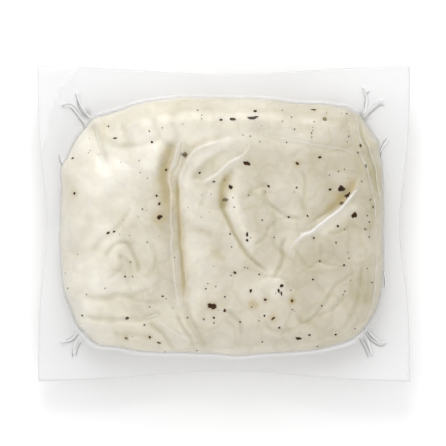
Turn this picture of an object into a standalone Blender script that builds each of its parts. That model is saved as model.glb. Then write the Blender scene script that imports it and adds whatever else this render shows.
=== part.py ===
"""Halloumi in a clear vacuum pouch, lying on its back with its folded side up.

Metres, +Z up. The origin is on the surface it lies on, under the middle of the pouch. +X runs along the
pouch's longer side and +Y towards its upper edge.
"""

import math
import random

import bmesh
import bpy
import numpy as np
from mathutils import Matrix, Vector, noise
from mathutils.bvhtree import BVHTree

MM = 0.001

# The pouch: two webs of film, welded round the cheese. Each edge is drawn in at its middle, by this
# much and over this share of its length.
POUCH_HALF = (0.0651, 0.0553)
EDGE_DRAWN_IN = {"left": 0.0031, "right": 0.0036, "top": 0.0029, "bottom": 0.0038}
DRAWN_IN_REACH = {"side": 0.42, "end": 0.58}
FLANGE_THICKNESS = 0.0005
SEAL_HEIGHT = 0.0107

# The block of cheese. A corner's squareness is the exponent of its quarter of a superellipse.
BLOCK_CENTRE = (-0.0007, -0.0005)
BLOCK_HALF = (0.0564, 0.0446)
SQUARENESS = {"top_left": 3.2, "top_right": 4.2, "bottom_left": 4.0, "bottom_right": 4.2}
RISE_ABOVE_SEAL = 0.0150
DROP_BELOW_SEAL = 0.0112
SHOULDER_WIDTH = 0.0160
SHOULDER_FULLNESS = 2.7
SHOULDER_START = 0.66
FILM_FILLET = (0.0010, 0.0006)

# How far each corner of the flange is lifted off the seal's level, and the ripple of its edge.
CORNER_LIFT = {"top_left": 0.0045, "top_right": 0.0025, "bottom_left": -0.0020, "bottom_right": 0.0020}
EDGE_RIPPLE = 0.0006

# Where the outline bulges or is nipped in: place, width and depth, and the size and depth of its waves.
OUTLINE_BUMPS = (
    ((-57.3, 19), 4, 1.4),
    ((-45.8, 36.8), 2.6, 0.9),
    ((-36, 40.8), 6, -0.9),
    ((-13.6, 44.6), 3, 0.5),
    ((26, 43), 9, -1.4),
    ((43.2, 41.2), 2.2, 1.0),
    ((47.6, 37.8), 2.6, 0.8),
    ((55, 28.6), 2.0, 1.7),
    ((49.5, -35), 5, -0.4),
    ((-43.5, -42), 5, 1.3),
    ((-53.5, -29), 5, -1.0),
    ((4, -45), 8, 0.8),
)
OUTLINE_WAVES = (0.011, 0.00045)

# The grid that the form is drawn on, how much of it is cheese, and the share of its triangles that is kept.
GRID_CELLS = 170
BLOCK_SHARE = 0.84
KEPT_TRIANGLES = 9600
FLOOR_CUTTER = (0.2, 0.2, 0.02)

# The curd's soft unevenness, as wave sizes and heights, and the lumps it was pressed from, as their
# size, their doming, the depth of the creases between them, and the share of a lump that a crease
# takes.
UNEVENNESS = ((0.016, 0.00035), (0.007, 0.00016))
CURD_LUMPS = (0.0105, 0.0011, 0.00012, 0.15)

# How far a fold strays from the route it was drawn on, and over what distance.
FOLD_SWAY = (0.0007, 0.006)

# The random draw for the shapes of the mint flakes.
SEED = 7

FLAKE_DEPTH = 0.0009


def mm(*points):
    """Points given in millimetres, as an array in metres."""
    return np.array(points, float) * MM


# Folds of the upper face, each with its height, the widths of its left and right flanks as one travels
# along it, and the points that it runs through. A height under zero is a crease.
FOLDS = {
    # The seam between the two flaps: the hollow left of it, the groove under the wide flap's edge, the
    # low ridge between them, and the creases that fan out from its foot.
    "seam_head": (-0.9, 1.2, 2.2, ((-16.8, 29), (-18.9, 25.2), (-20.3, 20.3), (-20.6, 15.4), (-20.3, 9.8),
                                   (-19.9, 4.2))),
    "seam_groove": (-0.65, 0.5, 1.3, ((-16.3, 18.2), (-16.4, 13), (-16.1, 7), (-15.4, -3.8), (-14.6, -15.7),
                                      (-14, -27.6))),
    "seam_ridge": (0.35, 0.5, 0.6, ((-15, 28.7), (-16.8, 24.1), (-18.4, 18.9), (-18.7, 14.7), (-18.4, 4.9),
                                    (-18, -3.8), (-17.5, -14.3), (-16.6, -23.1), (-15.7, -29.4))),
    "seam_foot": (-0.55, 1.0, 2.2, ((-14, -26.6), (-12.3, -30), (-10.8, -34.3), (-7.9, -39.4),
                                    (-4.9, -44.1))),
    "foot_fan_1": (-0.45, 0.8, 0.9, ((-16.4, -29.7), (-14.7, -35.7), (-11.9, -40.2), (-9.4, -44.1))),
    "foot_fan_2": (-0.45, 0.8, 0.9, ((-25.9, -33.9), (-23.1, -36.8), (-20.3, -39.9), (-16.8, -44.1))),
    # The wide flap: its rolled edge, the trough behind it, and the film's second pleat.
    "flap_edge": (0.45, 0.6, 4.2, ((-13.1, -27.6), (-13.8, -15.7), (-14.6, -3.8), (-15.4, 7), (-15.6, 13.3),
                                   (-15, 17.5), (-13.3, 21.7), (-9.8, 25.5), (-4.9, 27.8), (3.5, 29.4),
                                   (9.1, 30.4))),
    "flap_trough": (-0.7, 1.6, 2.2, ((-9.8, 14), (-8.8, 17.5), (-6.3, 20.6), (-1.8, 24.1), (2.4, 26.6))),
    "second_pleat": (0.55, 0.5, 1.7, ((-7.3, 14), (-5.2, 15.4), (-2.4, 17.8), (1.2, 21), (6.6, 24.1),
                                      (9.1, 26.9))),
    "flap_wrinkle_1": (-0.2, 0.7, 1.3, ((-14.7, 4.2), (-11.9, 4.4), (-9.1, 3.8), (-6.6, 9.8))),
    "flap_wrinkle_2": (-0.25, 0.9, 0.9, ((-4.9, 13.3), (-6.6, 9.8), (-8.4, 5.6))),
    "flap_wrinkle_3": (-0.2, 1.2, 1.6, ((-11.2, -1.4), (-8, -2.1), (-3.5, -3.5))),
    # The hook-shaped crease left of the middle, wide at its head, and the bulge on its right.
    "hook_head": (-0.7, 3.0, 1.4, ((3.5, 18.9), (1.4, 16.4), (-0.3, 12.6), (-0.7, 8.4), (-0.2, 4.2))),
    "hook_line": (-0.75, 0.8, 0.5, ((-0.7, 9.8), (-0.2, 5.2), (1.8, 0.3), (4.2, -4.9), (7.2, -9.1),
                                    (10.8, -13.3), (14.7, -17.1))),
    "hook_bulge": (0.9, 1.6, 2.8, ((5.9, 19.6), (4.5, 14.7), (3.5, 8.4), (4.9, 2.8), (7.7, -2.8),
                                   (11.2, -7.7))),
    # The slanting crease on the right, with the pleat of film along its lower side.
    "slant_crease": (-0.8, 0.9, 2.2, ((46.2, 16.8), (44.1, 12.6), (40.6, 8.4), (35.7, 4.2), (30.1, 0))),
    "slant_pleat": (0.6, 1.6, 0.4, ((46.9, 12.9), (43.8, 9.3), (40.6, 6.1), (36.8, 3.1), (34.1, 0.2),
                                    (30.4, -2.4), (26.9, -3.8), (24.5, -6.6))),
    # Shallow lines between the lumps of pressed curd.
    "curd_line_1": (-0.5, 0.8, 0.9, ((14, 13.3), (15, 8.4), (18.2, 5.2), (23.1, 2.6), (26.6, 1.8))),
    "curd_line_2": (-0.35, 0.8, 0.8, ((7.7, 8.4), (9.8, 11.9), (13.3, 12.9), (16.1, 14.3))),
    "curd_line_3": (-0.4, 0.9, 0.9, ((26.6, 18.9), (28.3, 14), (27.3, 8.4), (28.3, 4.2))),
    "curd_line_4": (-0.6, 0.8, 0.9, ((21.7, -4.2), (19.9, -7.7), (20.3, -11.5), (18.9, -15.4),
                                     (16.8, -19.6))),
    "curd_line_5": (-0.4, 0.9, 0.9, ((18.2, 0.7), (15.4, -1.4), (13.3, -5.6), (9.8, -7.7))),
    "curd_line_6": (-0.4, 0.8, 0.8, ((23.8, -7.7), (26.9, -12.6), (29.4, -14.7), (32.5, -13.3),
                                     (37.1, -14.3), (42, -15))),
    "curd_line_7": (-0.35, 0.8, 0.8, ((32.9, -6.6), (33.6, -10.5), (32.9, -14))),
    "curd_line_8": (-0.4, 0.8, 0.8, ((44.8, -16.1), (42, -18.9), (38.5, -21), (35.7, -25.2))),
    "curd_line_9": (-0.55, 0.8, 0.8, ((24.1, -30.1), (26.6, -33.9), (30.4, -32.5), (34.3, -28),
                                      (37.1, -23.1))),
    "curd_line_10": (-0.45, 0.8, 0.8, ((41.6, -23.8), (39.2, -27.6), (35.7, -30.4), (31.5, -32.5))),
    "curd_line_11": (-0.55, 0.8, 0.9, ((0.7, -29.4), (3.5, -31.8), (5.2, -34.3), (6.1, -39.2))),
    "curd_line_12": (-0.3, 1.0, 1.6, ((1.4, -13.6), (-2.1, -11.9), (-4.2, -8.8))),
    "curd_line_13": (-0.35, 0.9, 0.9, ((11.9, -18.9), (16.1, -18.2), (21, -19.2), (23.1, -23.1))),
    "curd_line_14": (-0.35, 0.9, 0.9, ((13.3, -32.9), (15.4, -35.7), (19.6, -37.1), (23.8, -36.8))),
    "curd_line_15": (-0.3, 0.9, 0.9, ((35.7, -4.2), (39.9, -2.8), (44.1, -1.4))),
    # The arched folds of the narrow flap, and the folds across its foot.
    "arch_1": (-0.35, 1.2, 1.2, ((-45.1, -10.5), (-43, -6.3), (-39.2, -3.5), (-35.7, 0), (-32.5, 6.3))),
    "arch_2": (-0.5, 1.0, 1.0, ((-41.6, -13.3), (-39.9, -9.1), (-37.1, -7), (-33.6, -6.6), (-31.5, -9.8),
                                (-29.7, -15.4), (-30.4, -18.2))),
    "arch_3": (-0.4, 1.0, 1.0, ((-36, -9.8), (-36, -14.7), (-37.8, -17.5), (-40.9, -19.9))),
    "arch_4": (-0.4, 1.1, 1.1, ((-26.6, -5.6), (-24.1, -9.8), (-23.8, -14), (-25.9, -17.5),
                                (-29.4, -18.9))),
    "arch_5": (-0.3, 1.0, 1.0, ((-37.1, -10.5), (-33.6, -13.3), (-32.5, -16.8), (-33.6, -20.3))),
    "foot_fold": (-0.5, 1.0, 1.5, ((-49.3, -24.1), (-45.1, -25.5), (-40.9, -25.5), (-36.4, -24.5),
                                   (-32.5, -24.5), (-28.7, -23.4), (-25.2, -22.4))),
    "foot_fold_branch": (-0.35, 1.0, 1.0, ((-34.3, -25.2), (-29.4, -26.6), (-25.2, -27.6), (-22.4, -27.6))),
    "foot_hem": (-0.5, 1.3, 1.0, ((-50, -31.5), (-45.1, -32.7), (-39.9, -33.2), (-34.6, -33.4),
                                  (-29.4, -33.2), (-23.8, -31.8), (-21.3, -31.1))),
    "foot_wrinkle": (-0.35, 1.0, 1.0, ((-39.2, -37.1), (-35, -38.5), (-30.1, -38.1), (-25.9, -39.5))),
    # The narrow flap's hip, from which its upper corner slopes away, and the pull of the film across
    # that corner.
    "hip": (1.1, 6.5, 2.4, ((-46.5, 5.9), (-44.1, 10.8), (-39.9, 14.3), (-34.3, 15.7), (-29, 17.1),
                            (-24.5, 21.7), (-20.3, 27.6))),
    "corner_pull": (-0.6, 1.6, 2.0, ((-46.2, 36), (-44.4, 31.5), (-43, 26.6), (-41.3, 21.3),
                                     (-39.9, 16.1))),
    "top_left_line": (-0.4, 1.4, 1.4, ((-41.6, 29.4), (-37.1, 27.3), (-32.2, 26.9), (-27.6, 27.6),
                                       (-22.4, 30.8))),
    # The pull of the film's gathers across the upper right corner and down the right side.
    "top_right_hem": (-0.35, 1.8, 1.2, ((11.9, 30.8), (21, 29.4), (33.6, 26.9), (40.6, 25.9),
                                        (46.5, 23.4))),
    "right_crease": (-0.9, 0.9, 1.1, ((46.9, 36.4), (47.9, 30.8), (50, 25.9), (52.1, 20.3), (53.2, 14.7),
                                      (53.5, 9.8))),
    "right_pull": (-0.4, 1.0, 1.0, ((49, 25.9), (50.4, 18.9), (51.4, 11.9), (51.4, 3.1), (51.1, -5.6))),
    "corner_drape": (-0.5, 1.2, 1.0, ((47.9, -11.9), (47.6, -19.6), (46.5, -26.6), (44.1, -32.9),
                                      (39.9, -38.1))),
    "corner_drape_2": (-0.35, 1.0, 1.0, ((50, -13.3), (50.4, -20.3), (49, -28))),
}

# Broad swellings and hollows of the upper face: centre, radii and height.
SWELLINGS = (
    ((-45, 31), (17, 13), -2.6),
    ((-42, 2), (13, 20), 0.8),
    ((-33, -15), (12, 12), 0.5),
    ((-6, 6), (6, 12), 0.4),
    ((14, 8), (9, 9), 0.6),
    ((38, 22), (14, 6), -0.6),
    ((31, 10), (5, 6), 0.5),
    ((38, -6), (9, 8), 0.5),
    ((-1, -9.5), (3.2, 3.6), -0.6),
    ((12, -28), (12, 10), 0.5),
    ((28, -22), (9, 8), 0.5),
    ((2, 36), (34, 4), 0.4),
    ((46, 36), (5, 4), -1.2),
)

# Gathers of the film that stand up at each corner of the pouch and at its sides, as height, width and
# points.
GATHERS = (
    (1.0, 0.7, ((-51.7, 46.6), (-50.6, 42.6), (-48.6, 39.2), (-45.6, 35.8))),
    (0.9, 0.7, ((-57, 41.2), (-53.4, 41.0), (-50.8, 38.2), (-47.6, 33.6))),
    (0.9, 0.7, ((48, 48), (49.7, 44.8), (49.7, 41), (48.4, 37.4))),
    (1.1, 0.8, ((56, 42.4), (54.0, 42.4), (50.8, 39.6), (48.0, 36.2))),
    (0.9, 0.7, ((-58.2, -41.7), (-53.6, -40.3), (-50.4, -36.8), (-47.8, -34.2))),
    (0.8, 0.7, ((-52.6, -46.6), (-52.4, -43.1), (-50.6, -39.7), (-47.4, -35.6))),
    (1.0, 0.7, ((57.2, -41.0), (54.4, -41.2), (50.6, -37.6), (48.2, -34.2))),
    (0.9, 0.7, ((51.6, -47.0), (51.1, -43.2), (49.4, -39.0), (47.0, -35.6))),
    (0.7, 0.6, ((57.6, 29.8), (56, 27.6), (54.4, 24.6))),
    (0.5, 0.6, ((-57.6, 23.8), (-56.4, 21.6), (-54.6, 19))),
    (0.5, 0.6, ((55.6, -16), (56.6, -19.4), (56.4, -23))),
)

# The larger flakes of dried mint: place, length, width and the turn of the length from +X in degrees.
FLAKES = (
    ((-4.2, -28.5), 3.1, 2.1, -20), ((40.6, 12.2), 2.4, 2.1, -30), ((42.7, 9.8), 1.9, 1.3, 60),
    ((2.4, 12.6), 1.4, 1.8, 10), ((9.8, 36.8), 3.1, 1.3, -6), ((3.1, 36.4), 2.4, 1, 8),
    ((-1, 36.2), 1.4, 0.7, 0), ((10.7, 39.2), 1.4, 1, 0), ((31.1, 39.7), 1.8, 0.8, -6),
    ((33.2, 23.1), 1.4, 0.8, 0), ((8, 21), 2.3, 1.3, -30), ((25.4, 21), 1.4, 1, 0), ((-8.4, 17.8), 1, 1, 0),
    ((15.4, 13.1), 1, 1, 0), ((36.8, 11.9), 1, 1, 0), ((45.1, 3), 1.8, 2.1, -10), ((8, -3.5), 1, 1.4, 0),
    ((3.8, -16.8), 1.2, 1, 0), ((9.2, -23.1), 1, 1.4, 0), ((19.9, -21.5), 1.4, 1.2, 20),
    ((18.9, -23.1), 1, 1.4, 0), ((19.9, -24.1), 0.7, 1.4, 0), ((0.2, -29.9), 1, 1.4, 0),
    ((25.9, -39.8), 2.1, 1, 8), ((-22.4, 2.3), 1.9, 1.4, 20), ((-40.1, -3.1), 1.2, 1, 0),
    ((-37.8, 29.8), 1.4, 0.7, 0), ((-25, 28.4), 1, 1, 0), ((-52.7, 22.9), 1.4, 0.7, 10),
    ((-51.9, 10.6), 1, 1, 0), ((-33.6, -32.7), 1.4, 1, 30), ((-22.7, -41.2), 1.6, 0.7, -20),
    ((47.4, 27.1), 0.9, 1.4, 10), ((49.3, 20.1), 0.9, 1.4, 10),
)


def smoothstep(value):
    """0 below 0, 1 above 1, and an S-curve between."""
    held = np.clip(value, 0.0, 1.0)
    return held * held * (3.0 - 2.0 * held)


def smooth_route(points, steps=8):
    """A Catmull-Rom curve through the points, as a line of short straight pieces."""
    padded = np.vstack([2 * points[0] - points[1], points, 2 * points[-1] - points[-2]])
    line = []
    for before, start, end, after in zip(padded, padded[1:], padded[2:], padded[3:]):
        for step in range(steps):
            t = step / steps
            line.append(0.5 * (2 * start + (end - before) * t
                               + (2 * before - 5 * start + 4 * end - after) * t ** 2
                               + (3 * start - before - 3 * end + after) * t ** 3))
    return np.array([*line, points[-1]])


def beside(plan, line):
    """For each point of the plan: its distance from the line, whether it lies left of it, how far along."""
    nearest = np.full(len(plan), np.inf)
    on_left = np.zeros(len(plan), bool)
    along = np.zeros(len(plan))
    pieces = len(line) - 1
    for index in range(pieces):
        start = line[index]
        run = line[index + 1] - start
        offset = plan - start
        share = np.clip(offset @ run / (run @ run), 0.0, 1.0)
        distance = np.hypot(*(offset - share[:, None] * run).T)
        closer = distance < nearest
        nearest[closer] = distance[closer]
        on_left[closer] = (run[0] * offset[:, 1] - run[1] * offset[:, 0] > 0)[closer]
        along[closer] = (index + share[closer]) / pieces
    return nearest, on_left, along


def fold_height(plan, height, left_width, right_width, points):
    """A ridge or crease along a route, fading at both ends, with flanks that may differ."""
    line = smooth_route(mm(*points))
    margin = 3 * MM * max(left_width, right_width)
    inside = ((plan > line.min(0) - margin) & (plan < line.max(0) + margin)).all(1)
    made = np.zeros(len(plan))
    distance, on_left, along = beside(plan[inside], line)
    width = np.where(on_left, left_width, right_width) * MM
    ends = smoothstep(along / 0.15) * smoothstep((1.0 - along) / 0.15)
    made[inside] = height * MM * (0.2 + 0.8 * ends) * np.exp(-(distance / width) ** 2)
    return made


def swelling_height(plan, centre, radii, height):
    """A broad mound, or a hollow where the height is under zero."""
    scaled = (plan - mm(centre)) / mm(radii)
    return height * MM * np.exp(-(scaled ** 2).sum(1))


def curd_unevenness(plan, level):
    """The soft unevenness of pressed curd: waves of a few sizes, and lumps with creases between them."""
    height = np.zeros(len(plan))
    for size, amount in UNEVENNESS:
        height += [amount * noise.noise(Vector((x / size, y / size, level))) for x, y in plan]
    size, doming, crease, share = CURD_LUMPS
    for index, (x, y) in enumerate(plan):
        spot = Vector((x / size, y / size, level))
        sway = 0.35 * noise.noise_vector(spot * 0.9)
        near, next_near = noise.voronoi(spot + sway)[0][:2]
        pressed = 0.55 + 0.9 * noise.noise(spot * 0.35 + Vector((5, 3, 1)))
        wall = math.exp(-((next_near - near) / share) ** 2)
        height[index] -= max(pressed, 0.1) * (doming * min(near, 0.6) ** 2 + crease * wall)
    return height


def swayed(plan):
    """The plan moved about a little, so that no fold runs as evenly as it was drawn."""
    reach, size = FOLD_SWAY
    moved = [noise.noise_vector(Vector((x / size, y / size, 4.0)))[:2] for x, y in plan]
    return plan + reach * np.array(moved)


def upper_relief(plan):
    """Height of the folds, swellings and unevenness on the upper face."""
    height = curd_unevenness(plan, level=2.0)
    drawn = swayed(plan)
    for fold in FOLDS.values():
        height += fold_height(drawn, *fold)
    for swelling in SWELLINGS:
        height += swelling_height(plan, *swelling)
    return height


def corner_of(u, v):
    """Which corner's quarter each grid point lies in."""
    upper = np.where(u < 0, "top_left", "top_right")
    lower = np.where(u < 0, "bottom_left", "bottom_right")
    return np.where(v < 0, lower, upper)


def block_outline(u, v):
    """The cheese's widest outline in each direction of the grid, with its outward normal."""
    corner = corner_of(u, v)
    power = np.select([corner == name for name in SQUARENESS], list(SQUARENESS.values()))
    reach = (np.abs(u) ** power + np.abs(v) ** power) ** (-1.0 / power)
    unit = np.stack([u * reach, v * reach], axis=1)
    normal = np.sign(unit) * np.abs(unit) ** (power[:, None] - 1.0) / np.array(BLOCK_HALF)
    normal /= np.linalg.norm(normal, axis=1)[:, None]
    outline = unit * np.array(BLOCK_HALF) + np.array(BLOCK_CENTRE)
    size, amount = OUTLINE_WAVES
    bulge = np.array([amount * noise.noise(Vector((x / size, y / size, 6.0))) for x, y in outline])
    for place, width, depth in OUTLINE_BUMPS:
        away = np.linalg.norm(outline - mm(place), axis=1)
        bulge += depth * MM * np.exp(-(away / (width * MM)) ** 2)
    return outline + normal * bulge[:, None], normal


def pouch_outline(u, v):
    """The pouch's outer edge for each direction of the grid: a rectangle with each side drawn in."""
    side_bow = np.where(u < 0, EDGE_DRAWN_IN["left"], EDGE_DRAWN_IN["right"])
    end_bow = np.where(v < 0, EDGE_DRAWN_IN["bottom"], EDGE_DRAWN_IN["top"])
    x = u * (POUCH_HALF[0] - side_bow * np.exp(-(v / DRAWN_IN_REACH["side"]) ** 2))
    y = v * (POUCH_HALF[1] - end_bow * np.exp(-(u / DRAWN_IN_REACH["end"]) ** 2))
    return np.stack([x, y], axis=1)


def flange_level(u, v):
    """How far the flange's outer edge stands above the seal's level: lifted corners and a slight ripple."""
    level = np.zeros(len(u))
    for name, lift in CORNER_LIFT.items():
        across = -u if name.endswith("left") else u
        up = -v if name.startswith("bottom") else v
        level += lift * (np.clip(across, 0, 1) * np.clip(up, 0, 1)) ** 3
    around = np.arctan2(v, u)
    return level + EDGE_RIPPLE * (np.sin(5 * around + 0.6) + 0.6 * np.sin(11 * around))


def form(grid, upper):
    """Where the grid's points lie on the upper or lower side of the filled pouch."""
    u, v = grid.T
    ring = np.maximum(np.abs(u), np.abs(v))
    middle = ring < 1e-6
    edge_u, edge_v = (np.where(middle, 1.0, along / np.where(middle, 1.0, ring)) for along in (u, v))
    outline, normal = block_outline(edge_u, edge_v)
    inward = ring / BLOCK_SHARE

    # The face, flat to the start of the shoulder, and the shoulder, a quarter of a superellipse.
    turn = np.clip((inward - SHOULDER_START) / (1.0 - SHOULDER_START), 0.0, 1.0) * math.pi / 2
    power = 2.0 / SHOULDER_FULLNESS
    inset = SHOULDER_WIDTH * (1.0 - np.sin(turn) ** power)
    fall = np.cos(turn) ** power
    centre = np.array(BLOCK_CENTRE)
    shrink = np.minimum(inward / SHOULDER_START, 1.0)
    plan = centre + (outline - normal * inset[:, None] - centre) * shrink[:, None]

    # The flange, from the cheese's outline to the pouch's edge.
    outward = np.clip((ring - BLOCK_SHARE) / (1.0 - BLOCK_SHARE), 0.0, 1.0)
    on_flange = ring > BLOCK_SHARE
    spread = pouch_outline(edge_u, edge_v) - outline
    plan[on_flange] = (outline + spread * outward[:, None])[on_flange]
    gap = np.linalg.norm(spread, axis=1) * outward
    fillet_width, fillet_height = FILM_FILLET
    near = np.clip(gap / fillet_width, 0.0, 1.0)
    fillet = fillet_height * (1.0 - smoothstep(near)) * (1.0 - 0.4 * near)
    level = SEAL_HEIGHT + flange_level(edge_u, edge_v) * outward ** 1.5

    side = 1.0 if upper else -1.0
    reach = RISE_ABOVE_SEAL if upper else DROP_BELOW_SEAL
    height = np.where(on_flange, fillet, fillet_height + (reach - fillet_height) * fall)
    z = level + side * (height + FLANGE_THICKNESS / 2)
    if upper:
        z += upper_relief(plan) * np.where(on_flange, 0.0, smoothstep(fall * 1.6))
        for tall, width, points in GATHERS:
            z += fold_height(plan, tall, width, width, points)
    else:
        z += curd_unevenness(plan, level=9.0) * fall
    return np.column_stack([plan, z])


def filled_pouch():
    """The cheese in its film as one closed body: a grid for each side, joined round the pouch's edge."""
    bm = bmesh.new()
    bmesh.ops.create_grid(bm, x_segments=GRID_CELLS, y_segments=GRID_CELLS, size=1.0)
    lifted = bmesh.ops.extrude_face_region(bm, geom=bm.faces[:])
    upper = [item for item in lifted["geom"] if isinstance(item, bmesh.types.BMVert)]
    upper_set = set(upper)
    lower = [vert for vert in bm.verts if vert not in upper_set]
    for verts, is_upper in ((upper, True), (lower, False)):
        grid = np.array([vert.co.xy for vert in verts])
        for vert, place in zip(verts, form(grid, is_upper)):
            vert.co = place
    bmesh.ops.recalc_face_normals(bm, faces=bm.faces[:])
    mesh = bpy.data.meshes.new("vacuum_pouch")
    bm.to_mesh(mesh)
    bm.free()
    return bpy.data.objects.new("vacuum_pouch", mesh)


def plain_material(name, colour, roughness):
    """A Principled material of one colour."""
    material = bpy.data.materials.new(name)
    material.use_nodes = True
    shader = material.node_tree.nodes["Principled BSDF"]
    shader.inputs["Base Color"].default_value = (*colour, 1.0)
    shader.inputs["Roughness"].default_value = roughness
    shader.inputs["Metallic"].default_value = 0.0
    return material


def keep_evaluated(obj):
    """Replaces the object's mesh by what its modifiers make of it."""
    bpy.context.view_layer.update()
    graph = bpy.context.evaluated_depsgraph_get()
    made = bpy.data.meshes.new_from_object(obj.evaluated_get(graph))
    obj.modifiers.clear()
    obj.data = made


def thin_out(obj):
    """Fewer triangles where the form is plain, so that the folds keep theirs."""
    thinning = obj.modifiers.new("thin_out", "DECIMATE")
    thinning.decimate_type = "COLLAPSE"
    triangles = sum(len(face.vertices) - 2 for face in obj.data.polygons)
    thinning.ratio = KEPT_TRIANGLES / triangles
    thinning.use_collapse_triangulate = True
    keep_evaluated(obj)


def press_flat_below(obj):
    """Cuts the underside level where the pack's weight presses it on the surface it lies on."""
    bm = bmesh.new()
    bmesh.ops.create_cube(bm, size=1.0)
    bmesh.ops.scale(bm, vec=Vector(FLOOR_CUTTER), verts=bm.verts[:])
    bmesh.ops.translate(bm, vec=Vector((0, 0, -FLOOR_CUTTER[2] / 2)), verts=bm.verts[:])
    mesh = bpy.data.meshes.new("floor_cutter")
    bm.to_mesh(mesh)
    bm.free()
    cutter = bpy.data.objects.new("floor_cutter", mesh)
    bpy.context.scene.collection.objects.link(cutter)
    cut = obj.modifiers.new("press_flat", "BOOLEAN")
    cut.operation = "DIFFERENCE"
    cut.solver = "EXACT"
    cut.object = cutter
    keep_evaluated(obj)
    bpy.data.objects.remove(cutter)


def mint_flake(index, place, normal, length, width, turn, draw):
    """One flake of dried mint: a flat uneven lozenge that stands a little proud of the cheese."""
    bm = bmesh.new()
    bmesh.ops.create_icosphere(bm, subdivisions=1, radius=0.5)
    for vert in bm.verts:
        vert.co.xy *= draw.uniform(0.8, 1.2)
    bmesh.ops.scale(bm, vec=Vector((length * MM, width * MM, FLAKE_DEPTH)), verts=bm.verts[:])
    lie = Vector((0, 0, 1)).rotation_difference(normal).to_matrix().to_4x4()
    spin = Matrix.Rotation(math.radians(turn), 4, "Z")
    bmesh.ops.transform(bm, matrix=Matrix.Translation(place) @ lie @ spin, verts=bm.verts[:])
    mesh = bpy.data.meshes.new(f"flake_{index}")
    bm.to_mesh(mesh)
    bm.free()
    return bpy.data.objects.new(f"flake_{index}", mesh)


def add_flakes(obj):
    """Fuses the larger mint flakes to the upper face."""
    bm = bmesh.new()
    bm.from_mesh(obj.data)
    surface = BVHTree.FromBMesh(bm)
    draw = random.Random(SEED)
    flakes = bpy.data.collections.new("flakes")
    bpy.context.scene.collection.children.link(flakes)
    for index, (centre, length, width, turn) in enumerate(FLAKES):
        above = Vector((centre[0] * MM, centre[1] * MM, 1.0))
        place, normal, _, _ = surface.ray_cast(above, Vector((0, 0, -1)))
        flakes.objects.link(mint_flake(index, place, normal, length, width, turn, draw))
    bm.free()
    join = obj.modifiers.new("add_flakes", "BOOLEAN")
    join.operation = "UNION"
    join.solver = "EXACT"
    join.operand_type = "COLLECTION"
    join.collection = flakes
    keep_evaluated(obj)
    for flake in list(flakes.objects):
        bpy.data.objects.remove(flake)
    bpy.data.collections.remove(flakes)


def main():
    for obj in list(bpy.data.objects):
        bpy.data.objects.remove(obj)
    pouch = filled_pouch()
    bpy.context.scene.collection.objects.link(pouch)
    thin_out(pouch)
    press_flat_below(pouch)
    add_flakes(pouch)
    pouch.data.materials.clear()
    pouch.data.materials.append(plain_material("cheese_in_film", (0.87, 0.82, 0.70), 0.35))
    pouch.data.shade_smooth()
    pouch.data.set_sharp_from_angle(angle=math.radians(50))


main()
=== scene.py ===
# %% [markdown]
# # Halloumi in a clear vacuum pouch
# The real thing is a slab of halloumi, folded over on itself with dried mint inside, and sealed in a
# pouch of clear film. The air is drawn out, so the film clings to every fold, and round the slab its
# two webs are welded into a flat flange. The pack lies on its back, and the camera looks straight
# down on the folded side. Everything is in metres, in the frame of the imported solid, so nothing has
# to be fitted afterwards.

# %% The frame
import math
import random

import bmesh
import bpy
import numpy as np
from mathutils import Matrix, Vector, noise
from mathutils.bvhtree import BVHTree


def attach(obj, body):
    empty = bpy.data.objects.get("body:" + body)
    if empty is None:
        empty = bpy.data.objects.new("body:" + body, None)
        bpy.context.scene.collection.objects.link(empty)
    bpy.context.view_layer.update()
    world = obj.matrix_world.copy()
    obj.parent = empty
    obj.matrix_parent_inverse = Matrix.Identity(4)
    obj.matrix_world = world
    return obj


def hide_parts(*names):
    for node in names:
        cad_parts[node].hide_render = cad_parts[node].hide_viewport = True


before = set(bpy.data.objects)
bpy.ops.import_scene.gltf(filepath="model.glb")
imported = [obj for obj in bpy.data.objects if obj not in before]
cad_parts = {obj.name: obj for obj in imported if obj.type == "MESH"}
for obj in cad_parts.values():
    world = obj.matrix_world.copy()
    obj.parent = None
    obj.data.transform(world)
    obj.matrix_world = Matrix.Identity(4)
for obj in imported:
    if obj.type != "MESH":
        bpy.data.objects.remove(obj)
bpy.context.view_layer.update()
MM = 0.001
# Blender takes the offsets of its noise vectors from the clock unless a seed is set.
NOISE_SEED = 5
noise.seed_set(NOISE_SEED)

# %% [markdown]
# ## Sizes
# The pouch's outline is a rectangle whose sides are drawn in by the vacuum. The slab's outline is a
# superellipse with a squareness of its own for each corner, because hand-folded cheese has no two
# corners alike. These are the values that the solid was made from, so the finished surface lies where
# the solid's does.

# %% Sizes of the pouch and the slab
POUCH_HALF = (0.0651, 0.0553)
EDGE_DRAWN_IN = {"left": 0.0031, "right": 0.0036, "top": 0.0029, "bottom": 0.0038}
DRAWN_IN_REACH = {"side": 0.42, "end": 0.58}
FLANGE_THICKNESS = 0.0005
SEAL_HEIGHT = 0.0107
CORNER_LIFT = {"top_left": 0.0045, "top_right": 0.0025, "bottom_left": -0.0020, "bottom_right": 0.0020}
EDGE_RIPPLE = 0.0006
BLOCK_CENTRE = np.array((-0.0007, -0.0005))
BLOCK_HALF = np.array((0.0564, 0.0446))
SQUARENESS = {"top_left": 3.2, "top_right": 4.2, "bottom_left": 4.0, "bottom_right": 4.2}
RISE_ABOVE_SEAL = 0.0150
DROP_BELOW_SEAL = 0.0112
# The shoulder between face and side: its width from above, its fullness and where on the grid it starts.
SHOULDER_WIDTH = 0.0160
SHOULDER_FULLNESS = 2.7
SHOULDER_START = 0.66
# The fillet of film at the slab's foot, as width and height, the film's distance from the slab, and the
# width over which the weld begins.
FILM_FILLET = (0.0010, 0.0006)
FILM_GAP = 0.0002
WELD_WIDTH = 0.0008
# Below this depth the film bridges a crease, and follows only a share of what is deeper.
BRIDGED_BELOW = -0.0012
BRIDGED_SHARE = 0.8
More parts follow.
